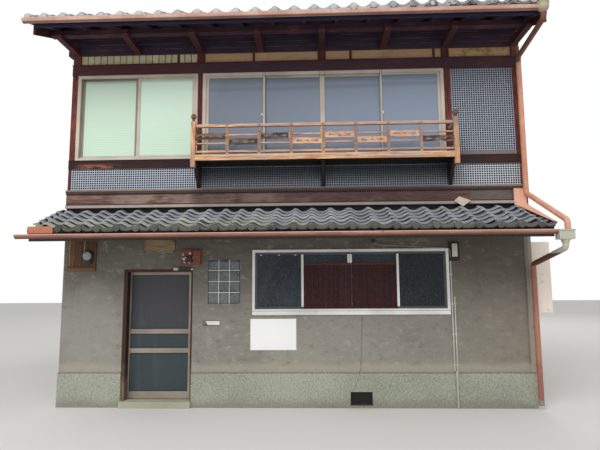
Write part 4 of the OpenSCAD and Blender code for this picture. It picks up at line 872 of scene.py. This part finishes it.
# The plates' violet is a painted shade tint on the stained timber under the eave.
shade_tinted_plate_wood = dress(timber("shade_tinted_plates", "#2c2032", "#453347", "x", "#4d343f", 0.2, extra=plate_lines),
                   "plate_beams")
dress(timber("stained_purlins", "#2a1622", "#4c2a35", "x", "#6a4048", 0.2), "eave_purlins")
dress(timber("stained_rafters", "#201826", "#3a2630", "y", None), "rafters")
dress(timber("stained_arms", "#2c1217", "#5a2428", "y", "#74382f", 0.25), "bracket_arms", "bargeboards")
dress(timber("eave_fascia", "#1a1730", "#2f2748", "x", None), "eave_boards")


def soffit_joints(f):
    gap = f.joints(f.y * 1.077, 0.12, 0.005)
    return [(f.per_board(f.y * 1.077, 0.12) * 0.4, "#1b1726"), (gap * 0.8, "#0b0a0e")]


# The soffit's violet is a painted shade tint on the stained boards under the eave.
dress(timber("soffit_boards", "#43344a", "#68526a", "x", None, extra=soffit_joints), "roof_boards")
dress(timber("pent_soffit_boards", "#342d2a", "#4d4440", "x", None), "pent_boards")
dress(timber("pent_rafters", "#3a3330", "#564b46", "y", None), "pent_rafters")
dress(timber("floor_boards", "#5a4432", "#80634a", "x", None), "upper_floor")


def rain_patch(f):
    """Pale ledges over and under the board, with painted shade below the upper one and a painted shadow
    line above the lower one, all darker under the balcony as painted shade, and a grey patch.
    """
    red = f.patches(0.48, 0.66, 1.2, 4, 0.6, (1, 1, 9)) * f.step(f.x, -0.8, -1.6)
    grey = f.step(f.x, 2.60, 2.605)
    damp = f.patches(0.5, 0.7, 1.5, 3, 0.6, (1, 1, 2))
    # Painted shade on the board and its ledges under the balcony.
    under = f.window(f.x, *BALCONY, 0.15)
    top = f.step(f.z, 3.112, 3.120)
    lip = f.step(f.z, 2.9045, 2.9035)
    return [(red * 0.5, "#9a7264"), (grey * 0.75, "#625c57"), (damp * 0.5, "#402e2c"),
            (under * 0.5, "#38282a"), (f.step(f.z, 3.060, 3.068) * 0.8, "#342524"),
            (top * 0.8, f.mix(under, "#9a8a80", "#6c5e5c")),
            # Painted shadow line on the board just above the lower ledge.
            (f.window(f.z, 2.9045, 2.926, 0.003) * 0.75, "#241a1a"),
            (lip * 0.85, f.mix(under * 0.6, "#b8ada3", "#8d827b"))]


dress(timber("weathered_rain_board", "#46302e", "#7d5c53", "x", "#a08a7e", 0.5, extra=rain_patch),
      "rain_board")


def deck_edge(f):
    """Painted highlight along the top, and painted shade, near black, under the beam and behind it."""
    streak = f.patches(0.53, 0.64, 1.4, 4, 0.6, (1.2, 8, 46))
    # Painted shade, near black, under the beam and behind it.
    under = f.step(f.z, 3.486, 3.484).most(f.step(f.y, -4.04, -4.03))
    # Painted highlight along the top.
    return [(f.step(f.z, 3.548, 3.560) * 0.6, "#ead4b4"), (streak * 0.72, "#734a35"),
            (under * 0.97, "#09080b")]


def rail_wear_and_light(f):
    """Grey at the joints of the rails, a painted highlight on their tops, and thin lines of painted shade
    under the top rail and under the bottom rail.
    """
    near = (f.x + 1.37).math("PINGPONG", 0.2301)
    joint = f.step(near, 0.035, 0.012)
    split = f.patches(0.53, 0.63, 1.6, 4, 0.6, (1.5, 8, 60))
    grey = f.step(f.ragged(f.x, 2.2, 0.8), 0.9, 1.9)
    # Painted highlight on the tops of the rails and the beam.
    top = f.step(f.z, 4.006, 4.012).most(f.window(f.z, 3.578, 3.60, 0.004))
    # Painted shade in thin dark lines under the top rail and under the bottom rail.
    ledge_shade = f.window(f.z, 3.572, 3.5765, 0.001).most(f.window(f.z, 3.969, 3.975, 0.001))
    return [(joint * 0.5, "#5f4c40"), (split * 0.7, "#5d3d31"), (grey * 0.45, "#a18b84"),
            (top * 0.4, "#f2dcc8"), (ledge_shade * 0.6, "#54382c")]


def knob_tone_and_highlight(f):
    """The newel's knob, dark where it springs, with a painted highlight that makes it pale on its crown.
    """
    worn = f.patches(0.5, 0.62, 3.0, 3, 0.6, (1, 1, 0.8)) * f.step(f.z, 4.06, 4.05)
    return [(f.step(f.z, 4.060, 4.075) * 0.85, "#4c332b"),
            (f.window(f.z, 4.118, 4.135, 0.006) * 0.5, "#a27e66"),
            # Painted highlight on the knob's crown.
            (f.step(f.z, 4.165, 4.19) * 0.7, "#e2c3a3"), (worn * f.step(f.x, 0.0, 1.0) * 0.6, "#8d7468")]


dress(timber("weathered_cedar", "#b67b57", "#f8cda9", "x", "#b59a8e", 0.62, rough=0.8, depth=0.002,
             extra=rail_wear_and_light), "balcony_rails")
dress(timber("weathered_cedar_posts", "#ad7551", "#f2c29c", "z", "#aa8e80", 0.6, rough=0.8,
             extra=knob_tone_and_highlight), "balcony_newels")
dress(timber("weathered_balcony_beam", "#b87c54", "#fbd0a6", "x", "#c4a592", 0.5, extra=deck_edge),
      "balcony_deck")
# The brackets are painted near black as the shade under the deck.
dress(timber("shade_dark_brackets", "#161010", "#2a1f1d", "y", None), "balcony_brackets")


def board_wear(f):
    old = f.step(f.x, -0.02, -0.03).most(f.step(f.x, 1.85, 1.86))
    blot = f.patches(0.40, 0.52, 5.0, 4, 0.65, (1, 1, 5))
    blots = f.patches(0.54, 0.64, 4.0, 4, 0.65, (2, 1, 6))
    return [(blots * 0.5, "#7a5646"), (old * (blot * 0.3 + 0.65), "#332c2b")]


dress(timber("pierced_cedar", "#bb7f58", "#f6c8a0", "x", "#c1a394", 0.4, extra=board_wear, depth=0.002),
      "pierced_boards")


def outer_rails(f):
    """The sashes' outer rails stand in the frame's shade and look as dark as the glass."""
    rails = f.step(f.z, 2.1515, 2.1525).most(f.step(f.z, 1.4015, 1.4005))
    stiles = f.step(f.x, -0.5095, -0.5105).most(f.step(f.x, 2.1745, 2.1755))
    return [(rails.most(stiles) * 0.92, "#24282c")]


def sill_line(f):
    """A dark groove along the sill."""
    groove = f.window(f.z, 1.338, 1.346, 0.002)
    return [(groove * 0.6, "#57544e")]


def sash_shade(f):
    """The rear sashes stand in the shade of the front ones, and three stiles are darkened along both
    edges, all painted shade.
    """
    left = f.step(f.x, -2.3555, -2.3575) * f.step(f.y, -3.664, -3.662) * f.step(f.z, 3.66, 3.67)
    # Painted shade along both edges of each of these stiles.
    stiles = ((-0.418, 0.0115, 0.021, 0.65), (1.350, 0.0115, 0.021, 0.65), (0.466, 0.030, 0.042, 0.5))
    return [(left * 0.6, "#554d44")] + [(f.window(abs(f.x - middle), near, far, 0.001) * share, "#4c4f56")
                                        for middle, near, far, share in stiles]


dress(frame_metal("beige_window_frames", "#bfb4a5", "#d3c9bb", dirt=0.15, extra=sash_shade),
      "upper_window_frames", "upper_sashes")
dress(frame_metal("pale_window_frames", "#d6d6d3", "#f0f0ee", dirt=0.15, extra=sill_line),
      "lower_window_frame")
dress(frame_metal("pale_window_sashes", "#d6d6d3", "#f0f0ee", dirt=0.15, extra=outer_rails),
      "lower_sashes")
dress(frame_metal("bronze_door_leaf", "#95897d", "#aba093", dirt=0.2), "door_leaf")
brass = dress(frame_metal("rail_metal", "#8d7a4f", "#ab9a6c"), "door_track")


def gutter_finish():
    """Faded red paint: paler above, with a painted highlight along the lower gutter's lip and painted
    shade on both gutters' undersides.
    """
    f = Finish("faded_gutter")
    cloud = f.noise(2.3, 4, 0.6)
    streak = f.noise(1.6, 4, 0.6, (1.2, 9, 9))
    low = f.mix(f.step(cloud, 0.35, 0.7), "#a06a58", "#b98573")
    high = f.mix(f.step(cloud, 0.35, 0.7), "#c29080", "#e6bfae")
    colour = f.mix(f.step(f.z, 3.0, 4.0), low, high)
    # Painted shade on the undersides of both gutters.
    underside_shade = f.step(f.z, 2.366, 2.338).most(f.window(f.z, 5.27, 5.283, 0.004))
    # Painted highlight along the lower gutter's lip.
    lip = f.window(f.z, 2.377, 2.40, 0.002) * f.step(f.y, 0.0, -1.0)
    spots = f.step(f.noise(17, 5, 0.7) + cloud * 0.3, 0.76, 0.86)
    colour = f.over(
        colour, (f.step(streak, 0.5, 0.75) * 0.4, "#d8b3a4"), (underside_shade * 0.72, "#4a2c25"),
        (lip * 0.6, "#ecc8b9"), (spots * 0.6, "#6b4438"))
    rough = f.step(cloud, 0.3, 0.8) * 0.25 + 0.5
    return f.done(colour, rough, f.noise(34, 3) * 0.4 + streak * 0.3, 0.0012)


gutter_paint = dress(gutter_finish(), "gutters", "rear_downpipe")


def pipe_paint(name, base, pale, scale, reach, rough, wear):
    """Faded plastic paint in soft clouds, with what wear lays on it."""
    f = Finish(name)
    cloud = f.noise(scale, 4, 0.6, (1, 1, reach))
    colour = f.over(f.mix(f.step(cloud, 0.35, 0.7), base, pale), *wear(f, cloud))
    return f.done(colour, rough + cloud * 0.2, cloud, 0.001)


def upper_pipe_wear(f, cloud):
    """A dark brown slanting run and a grey-green hopper."""
    return [(f.window(f.z, 4.95, 5.24, 0.02) * 0.85, "#5a3429"),
            (f.window(f.z, 5.235, 5.37, 0.01) * 0.9, "#a7a68a"),
            (f.patches(0.56, 0.7, 8, 4, 0.65) * 0.3, "#a9684e")]


def lower_pipe_wear(f, cloud):
    """Dark at the bend, with a pale hopper and a grey foot."""
    return [(f.window(f.z, 1.96, 2.11, 0.02) * 0.8, "#4f2f28"),
            (f.step(f.z, 2.095, 2.105), f.mix(cloud, "#a9a896", "#cdccbb")),
            (f.step(f.z, 0.14, 0.12), "#8d8b83")]


dress(pipe_paint("downpipe_paint", "#c98a6c", "#e6b396", 3, 0.5, 0.5, upper_pipe_wear), "upper_downpipe")
dress(pipe_paint("lower_downpipe_paint", "#9a6553", "#b27b67", 4, 0.6, 0.55, lower_pipe_wear),
      "lower_downpipe")


def left_flashing(f):
    """Deeper orange on the left end, with darker patches on it."""
    return [(f.step(f.x, -3.0, -3.1) * 0.75, "#b4603a"),
            (f.step(f.x, -3.0, -3.1) * f.patches(0.45, 0.6, 4, 3) * 0.4, "#7d4630")]


dress(metal_paint("pink_flashing", "#e0a288", "#f4c8b0", "#8d5a48", share=0.6, extra=left_flashing),
      "pent_flashing")
dress(upper_pane(), "upper_glass")


def ground_pane():
    """Dark glass with a small raised pattern, darkest at the right, with grey blurs at the left."""
    f = Finish("ground_window_glass", Specular_IOR_Level=0.16)
    cell = f.cells(95, f.at(1, 1, 0.6))
    colour = f.mix(f.patches(0.3, 0.7, 1.6, 3), "#20252b", "#343b43")
    blur = f.patches(0.5, 0.7, 3.0, 3, 0.5, (1, 1, 0.5)) * f.step(f.x, 0.4, 0.0)
    pebble = f.patches(0.50, 0.66, 52, 3, 0.7)
    colour = f.over(
        colour, (blur * 0.5, "#4a4c50"), (f.step(f.x, 1.4, 1.6) * 0.75, "#17181a"),
        (f.step(f.y, 0.0, 0.1), "#3b4348"), (pebble * (0.42 - f.step(f.x, 1.4, 1.6) * 0.2), "#66717b"),
        (f.step(cell, 0.1, 0.7) * 0.2, "#4d5760"))
    return f.done(colour, 0.2 + cell * 0.25, cell, 0.001)


def meter_tones(f):
    """The first planks paler than the last ones, over an ochre ledge."""
    return [(f.step(f.x, -3.21, -3.205) * 0.6, "#4a2a1c"), (f.step(f.z, 1.986, 1.984) * 0.6, "#86603f")]


def slot_tones(f):
    """The left end of the letter slot hangs open, and its inside there is darkened as painted shade."""
    slant = f.x + (f.z - 1.176) * 0.6
    # Painted shade in the open end of the slot.
    return [(f.step(slant, -1.235, -1.242) * 0.85, "#4f3626")]


def pipe_tones(f):
    """The grey pipe is darker towards the ground."""
    return [(f.step(f.z, 1.0, 0.1) * 0.4, "#77746b")]


def joint_edge(f):
    """White mortar between the glass blocks, and plaster round them."""
    inside = f.window(f.x, -1.2235, -0.7685, 0.001) * f.window(f.z, 1.4545, 2.0815, 0.001)
    return [(1 - inside, "#857f74")]


dress(ground_pane(), "lower_glass")
dress(door_pane(), "door_glass")
dress(metal_paint("cream_case", "#fff0e2", "#fffaf2", "#c2a48e", share=0.4), "side_box")
fitting_wood = dress(timber("fitting_boards", "#5a3d27", "#86603a", "z", "#9a6d42", 0.4,
                            extra=meter_tones), "meter_board")
dress(timber("switch_board_wood", "#6a382c", "#a2604c", "x", "#b87a60", 0.3,
             extra=lambda f: [(f.step(f.x, 1.0, 1.1) * 0.9, "#241d1b")]), "switch_boards")


def jamb_wear(f):
    """Red on the street side, and worn grey near the ground."""
    bare = f.step(f.ragged(f.z, 5, 0.5), 0.62, 0.25)
    return [(f.step(f.y, -3.66, -3.70) * 0.3, "#6a3524"), (f.step(f.y, -3.69, -3.66) * 0.4, "#1b0e0d"),
            (bare * 0.6, "#8a7c6a")]


dress(timber("door_jambs", "#110807", "#281512", "z", "#452820", 0.2, extra=jamb_wear), "door_frame")
dress(plain_paint("slot_enamel", "#f6e9df", "#dcc6b8", 0.4, slot_tones), "letter_slot")
dress(plain_paint("lamp_case", "#d9d5ca", "#b5b1a6", 0.4,
                  lambda f: [(f.step(f.x, -1.6555, -1.6545) * 0.95, "#2b2725")]), "door_lamp")
dress(plain_paint("conduit_paint", "#cfccc1", "#aaa79b", 0.6, pipe_tones), "conduits")
dress(plain_paint("white_mortar", "#f6f7f2", "#d8dad4", 0.85, joint_edge), "block_joints")
porcelain = plain_paint("porcelain", "#d8d6cc", "#aeaca2", 0.3)
dark_resin = plain_paint("dark_resin", "#26221f", "#3a3430", 0.45)
cable_grey = plain_paint("cable_sheath", "#b4b0a4", "#8f8b80", 0.6)
white_card = plain_paint("blank_notice", "#ffffff", "#fbfbfa", 0.6)
rubber = plain_paint("gasket", "#1f2224", "#2c3032", 0.7)


def cladding_sheet():
    """Ribbed sheet on the right side, pale low down and dark on the upper storey."""
    f = Finish("side_cladding")
    rib = f.y.math("PINGPONG", 0.038) / 0.038
    stain = f.noise(1.8, 4, 0.6, (1, 3, 0.6))
    colour = f.mix(f.step(stain, 0.35, 0.7), "#9a9184", "#b3aa9c")
    upper = f.step(f.z, 2.86, 2.87)
    # Painted shade in the fold of each rib.
    colour = f.over(
        colour, (upper * 0.9, f.mix(stain, "#4a3a36", "#6a544c")),
        (f.joints(f.z, 0.91, 0.006, 0.48) * 0.6, "#3a342f"), (f.step(rib, 0.25, 0.0) * 0.3, "#4b443d"))
    return f.done(colour, 0.7, rib, 0.006)


def gable_boards():
    """Upright scorched boards on the party walls."""
    f = Finish("gable_boards")
    along = f.at(34, 34, 1.6)
    fibre = f.noise(2.4, 5, 0.62, along, 0.6)
    board = f.per_board(f.y, 0.18)
    gap = f.joints(f.y, 0.18, 0.008)
    colour = f.mix(f.step(fibre, 0.3, 0.7), "#2e2825", "#544943")
    inner = f.step(abs(f.x), 3.35, 3.34)
    colour = f.over(
        colour, (board * 0.45, "#6e6259"), (gap * 0.85, "#14110f"),
        (inner, f.mix(fibre, "#a89c84", "#bfb398")))
    return f.done(colour, 0.8, fibre * 0.4 - gap, 0.004)


dress(gable_boards(), "party_walls")
dress(cladding_sheet(), "side_cladding")


# Pieces

tile_roofs()
ridge()


def frieze():
    """Narrow upright boards over the left window, wide ochre ones over the rest."""
    f = Finish("frieze_boards")
    fibre = f.noise(2.4, 5, 0.62, (30, 30, 2.0), 0.5)
    pale = f.mix(fibre, "#d0c59c", "#fbf2ce")
    colour = f.mix(f.step(f.x, -1.40, -1.41), f.mix(fibre, "#b98f68", "#ecc094"), pale)
    mottle = f.patches(0.45, 0.62, 4.5, 4, 0.65) * f.step(f.x, 2.3, 2.35)
    stains = f.patches(0.52, 0.7, 2.2, 4, 0.6, (1, 1, 2.5))
    colour = f.over(
        colour, (f.tone() * 0.3, "#a08c68"), (mottle * 0.65, "#7d6034"), (stains * 0.3, "#8a6848"),
        # Painted shade: the backing seen in the gaps between the planks is near black.
        (f.step(f.y, -3.6645, -3.6635) * 0.9, "#1b1512"))
    done = f.done(colour, 0.7, fibre, 0.002)
    bm = toned()
    bays = ((-3.265, -1.4465, 0.10, 0.006), (-1.3315, 0.4055, 1.7, 0.002), (0.5205, 2.2635, 1.7, 0.002),
            (2.3785, 3.30, 0.9, 0.002))
    for low, high, wide, gap in bays:
        count = round((high - low) / wide)
        step = (high - low) / count
        for i in range(count):
            start = low + i * step
            place = Matrix.Translation((0, luck.uniform(0, 0.003), 0))
            add(bm, luck.random(), block, (start + gap, -3.678, 5.101),
                (start + step - gap, -3.664, 5.259), 0.002, place=place)
        # Backing board behind the planks; the finish paints it near black as shade.
        add(bm, 1.0, block, (low, -3.663, 5.10), (high, -3.62, 5.26))
    piece("frieze_planks", bm, done, ["frieze_panels"])


def reeds():
    """Screen of upright reeds in two widths, tied with threads, under a hem."""
    f = Finish("reed_screen")
    streak = f.noise(3, 4, 0.6, (60, 1, 2))
    colour = f.ramp(f.tone(), (0.0, "#19090c"), (0.45, "#351316"), (0.8, "#4b1c1f"), (1.0, "#6c2f29"))
    dash = f.noise(1.0, 3, 0.6, (150, 1, 24))
    colour = f.over(
        colour, (streak * 0.3, "#2a1012"), (f.step(dash, 0.54, 0.64) * 0.5, "#83332e"),
        (f.step(dash, 0.46, 0.36) * 0.6, "#13070b"),
        (f.window(f.z, 1.996, 2.03, 0.006) * 0.45, "#8a5138"))
    done = f.done(colour, 0.6, streak, 0.001)
    bm = toned()
    x, middle, face = 0.170, 0.80, -3.670
    while x < 1.495:
        lean = Matrix.Translation((0, luck.uniform(-0.001, 0.001), luck.uniform(-0.004, 0.004)))
        edge = 0.94 if x < 0.19 else 0.0 if abs(x - middle) < 0.007 else luck.random() ** 1.5
        add(bm, edge, rod, (x, face, 1.374), (x, face, 2.026), 0.0026, 6, place=lean)
        x += 0.0036 if abs(x - middle) < 0.045 else 0.0056
    for z in (1.465, 1.649, 1.821, 1.96):
        add(bm, 0.97, rod, (0.168, -3.6735, z), (1.497, -3.6735, z), 0.0015, 6)
    for x in (0.25, middle, 1.42):
        add(bm, 0.6, rod, (x, face, 2.02), (x, face, 2.064), 0.0016, 8)
    add(bm, 0.7, block, (0.165, -3.676, 1.369), (1.50, -3.664, 1.386), 0.003)
    piece("reed_curtain", bm, done, ["reed_screen"])


def blocks():
    """Glass blocks with a rounded edge and a waffle of ribs pressed into the face."""
    f = Finish("pressed_glass", Coat_Weight=0.5, Coat_Roughness=0.08)
    cloud = f.noise(9, 4, 0.6)
    colour = f.mix(f.step(cloud, 0.3, 0.7), "#3c4547", "#636c6d")
    colour = f.over(
        colour, (f.tone() * 0.4, "#8d979c"), (f.patches(0.5, 0.66, 38, 3, 0.7) * 0.4, "#a3abae"))
    rib = f.joints(f.x, 0.018, 0.009).most(f.joints(f.z, 0.018, 0.009))
    done = f.done(f.mix(rib * 0.2, colour, "#3f4847"), 0.2, rib, 0.0025)
    bm = toned()
    for column in range(3):
        for row in range(4):
            x, z = -1.221 + column * 0.156, 1.457 + row * 0.16
            add(bm, luck.random(), block, (x, -3.697, z), (x + 0.138, -3.60, z + 0.142), 0.008)
    piece("pressed_glass_blocks", bm, done, ["glass_blocks"])


def ring(bm, x0, x1, z0, z1, y, wide, thick):
    """Square frame round an opening."""
    for a, b, c, d in ((x0, x0 + wide, z0, z1), (x1 - wide, x1, z0, z1), (x0, x1, z0, z0 + wide),
                       (x0, x1, z1 - wide, z1)):
        block(bm, (a, y - thick, c), (b, y + thick, d), 0.001)


def rods_on(bm, *rows):
    """Several rods, each row its two ends, radius, sides, tip and bevel."""
    for row in rows:
        rod(bm, *row)


def meter():
    """Planks on the wall, and on them a round case, its dial and a glass dome."""
    left, right, front, wide, gap = -3.314, -2.891, -3.720, 0.10575, 0.0015
    planks = [(x + gap, front, 1.980, x + 0.1045, WALL, 2.412, 0.003)
              for x in (left + i * wide for i in range(4))]
    ledges = [(left, -3.742, 1.927, right, WALL, 1.985, 0.004),
              (left + 0.008, -3.727, 2.385, right - 0.008, front, 2.405, 0.002)]
    piece("meter_planks", blocks_of(planks + ledges), fitting_wood, ["meter_board"])
    x, z = -3.007, 2.152
    case = blocks_of([(-3.065, -3.765, 2.035, -2.949, -3.72, 2.085, 0.006)])
    rods_on(case, ((x, -3.718, z), (x, -3.748, z), 0.086, 40, None, 0.006),
            ((x, -3.748, z), (x, -3.762, z), 0.080, 40, 0.078))
    piece("meter_case", case, dark_resin)
    dial = blocks_of([(-3.052, -3.776, 2.172, -2.962, -3.770, 2.196, 0.002),
                      (-3.045, -3.776, 2.118, -2.969, -3.770, 2.128, 0.002)])
    rod(dial, (x, -3.762, z), (x, -3.772, z), 0.060, 40)
    piece("meter_dial", dial, porcelain)
    dome = bmesh.new()
    bmesh.ops.create_uvsphere(dome, u_segments=40, v_segments=20, radius=0.076)
    bmesh.ops.bisect_plane(dome, geom=dome.verts[:] + dome.edges[:] + dome.faces[:], plane_co=(0, 0, 0.02),
                           plane_no=(0, 0, 1), clear_inner=True)
    bmesh.ops.scale(dome, vec=(1, 1, 0.92), verts=dome.verts[:])
    facing = Matrix.Translation((x, -3.745, z)) @ Matrix.Rotation(math.pi / 2, 4, "X")
    bmesh.ops.transform(dome, matrix=facing, verts=dome.verts[:])
    glass = Finish("meter_glass", Alpha=0.34, Coat_Weight=1.0, Coat_Roughness=0.03)
    smoke = glass.mix(glass.noise(6, 2), "#5d6f7c", "#93a4b0")
    piece("meter_dome", dome, glass.done(smoke, 0.08))
    wire("meter_wire_left", 0.005, (-3.283, -3.724, 2.02), (-3.283, -3.726, 2.2), (-3.284, -3.724, 2.40),
         (-3.284, -3.712, 2.55), (-3.284, -3.708, 2.66))
    wire("meter_wire_right", 0.005, (-3.055, -3.745, 2.20), (-3.058, -3.735, 2.28), (-3.06, -3.726, 2.38),
         (-3.06, -3.712, 2.52), (-3.06, -3.708, 2.66))


def fittings():
    """Bare plaque and notice, and what is screwed to the wall and the switch boards."""
    left, right, low, high = -2.171, -1.724, 2.199, 2.383
    plaque = blocks_of([(left, -3.716, low, right, WALL, high, 0.004)])
    ring(plaque, left, right, low, high, -3.718, 0.018, 0.005)
    piece("plaque", plaque, timber("plaque_wood", "#75644a", "#b39d74", "x", "#c4b084", 0.5))
    notice = blocks_of([(-0.605, -3.7025, 0.792, 0.052, -3.7002, 1.231, 0.0008)])
    piece("notice_sheet", notice, white_card)
    bits = blocks_of([(-1.594, -3.734, 2.076, -1.566, -3.718, 2.096, 0.003),
                      (-1.452, -3.730, 2.100, -1.432, -3.718, 2.142, 0.003),
                      (-1.606, -3.730, 2.150, -1.586, -3.718, 2.178, 0.003),
                      (2.290, -3.752, 2.100, 2.366, -3.746, 2.286, 0.002)])
    rods_on(bits, ((-1.489, -3.748, 2.179), (-1.489, -3.757, 2.179), 0.021, 24, 0.015, 0.002),
            ((-1.612, -3.728, 2.108), (-1.548, -3.728, 2.118), 0.011, 16, None, 0.004),
            ((-1.585, -3.724, 2.056), (-1.560, -3.724, 2.040), 0.009, 12, None, 0.003),
            ((-1.52, -3.724, 2.062), (-1.492, -3.724, 2.030), 0.006, 12),
            ((-1.476, -3.727, 1.949), (-1.438, -3.727, 1.949), 0.012, 16, 0.010, 0.002))
    piece("switch_porcelain", bits, porcelain)
    dark = blocks_of([(-1.532, -3.7595, 2.051, -1.464, -3.72, 2.151, 0.004),
                      (1.155, -3.732, 2.314, 1.196, WALL, 2.354, 0.004),
                      (-1.296, -3.7093, 1.141, -1.050, -3.7005, 1.147, 0.001),
                      (-1.296, -3.7093, 1.204, -1.050, -3.7005, 1.209, 0.001)])
    piece("dark_fittings", dark, dark_resin)
    wire("window_cable", 0.0045, (1.18, -3.722, 2.318), (1.21, -3.712, 2.292), (1.30, -3.708, 2.276),
         (1.65, -3.708, 2.258), (1.95, -3.708, 2.240), (2.20, -3.710, 2.234), (2.262, -3.716, 2.218),
         (2.272, -3.718, 2.150), (2.270, -3.712, 2.06), (2.266, -3.709, 1.99))


def gutter_straps():
    """Straps round the gutters, each hooked to the eave behind it."""
    bm = bmesh.new()
    for z, y, edge, x, step, last in ((2.382, -4.59, -4.53, -3.225, 0.82, 3.3),
                                      (5.324, -4.68, -4.62, -3.30, 0.93, 3.2)):
        while x < last:
            half_band(bm, (x, y, z), (-1, 0, 0), 0.050, 0.0535, 0.018)
            block(bm, (x - 0.009, y + 0.046, z - 0.004), (x + 0.009, edge + 0.004, z + 0.001))
            block(bm, (x - 0.009, y - 0.053, z - 0.002), (x + 0.009, y - 0.046, z + 0.006))
            x += step
    piece("gutter_straps", bm, gutter_paint)


def loose_plate():
    """Small slate that leans on the wall under the rain board."""
    bm = bmesh.new()
    corners = [(2.421, 2.969), (2.345, 2.903), (2.455, 2.816), (2.579, 2.907)]
    face = bm.faces.new([bm.verts.new((x, -3.753 - (2.969 - z) * 0.32, z)) for x, z in corners])
    thicken(bm, [face], (0, -0.012, -0.003))
    slate = speckled("loose_plate", "#b3a590", "#d2c7b4", "#6a5d4c", 34)
    piece("loose_plate", bm, slate, smooth=0)


def door_details():
    """Gaskets round the panes and a pull on the closing stile."""
    seals = bmesh.new()
    for low, high in ((0.197, 0.740), (0.808, 1.015), (1.083, 1.874)):
        ring(seals, -2.394, -1.536, low, high, -3.5725, 0.006, 0.0012)
    piece("door_seals", seals, rubber, body="door")
    pull = blocks_of([(-1.519, -3.5762, 0.88, -1.493, -3.574, 1.04, 0.003),
                      (-1.513, -3.5768, 0.90, -1.499, -3.5755, 1.02, 0.001)])
    piece("door_pull", pull, brass, body="door")


def window_details():
    """Gaskets round the outer panes, clips on the frames and latches where the upper sashes meet."""
    seals = bmesh.new()
    for x0, x1 in ((-0.510, 0.073), (1.507, 2.175)):
        ring(seals, x0, x1, 1.401, 2.152, -3.687, 0.006, 0.002)
    piece("window_seals", seals, rubber)
    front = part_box("upper_sashes")[0][1]
    clips = [(x, -3.703, 2.138, x + 0.03, -3.690, 2.152, 0.003) for x in (-0.47, -0.21, 0.03)]
    clips += [(x, -3.722, 1.330, x + 0.028, -3.717, 1.340, 0.002) for x in (0.32, 0.80, 1.19)]
    clips += [(x - 0.011, front - 0.012, 4.245, x + 0.011, front, 4.292, 0.003) for x in (-0.447, 1.369)]
    piece("window_clips", blocks_of(clips), porcelain)


def vent_screen():
    """Dark woven screen behind the bars of the foundation vent."""
    left, right, low, high, pitch = 0.812, 1.116, 0.036, 0.214, 0.0127
    bm = blocks_of([(left, -3.604, low, right, -3.601, high)])
    lines = [(left + pitch * k, low, left + pitch * k, high) for k in range(1, 24)]
    lines += [(left, low + pitch * k, right, low + pitch * k) for k in range(1, 14)]
    for x0, z0, x1, z1 in lines:
        rod(bm, (x0, -3.605, z0), (x1, -3.605, z1), 0.0008, 4)
    piece("vent_screen", bm, dark_resin)


frieze()
reeds()
blocks()
meter()
fittings()
gutter_straps()
loose_plate()
door_details()
window_details()
vent_screen()
# The plate's end takes the same violet painted shade tint.
plate_end = blocks_of([(3.385, -3.698, 5.28, 3.424, -3.56, 5.498, 0.003)])
piece("plate_end", plate_end, shade_tinted_plate_wood)


# Ground

ground = bmesh.new()
bmesh.ops.create_grid(ground, x_segments=1, y_segments=1, size=40)
floor = bpy.data.objects.new("floor", kept(ground, "floor"))
pale = Finish("studio_floor")
floor.data.materials.append(pale.done(pale.mix(pale.noise(0.4, 2), "#dedcd8", "#e2e0dc"), 0.9))
floor.location = (0, 0, -0.002)
scene.collection.objects.link(floor)
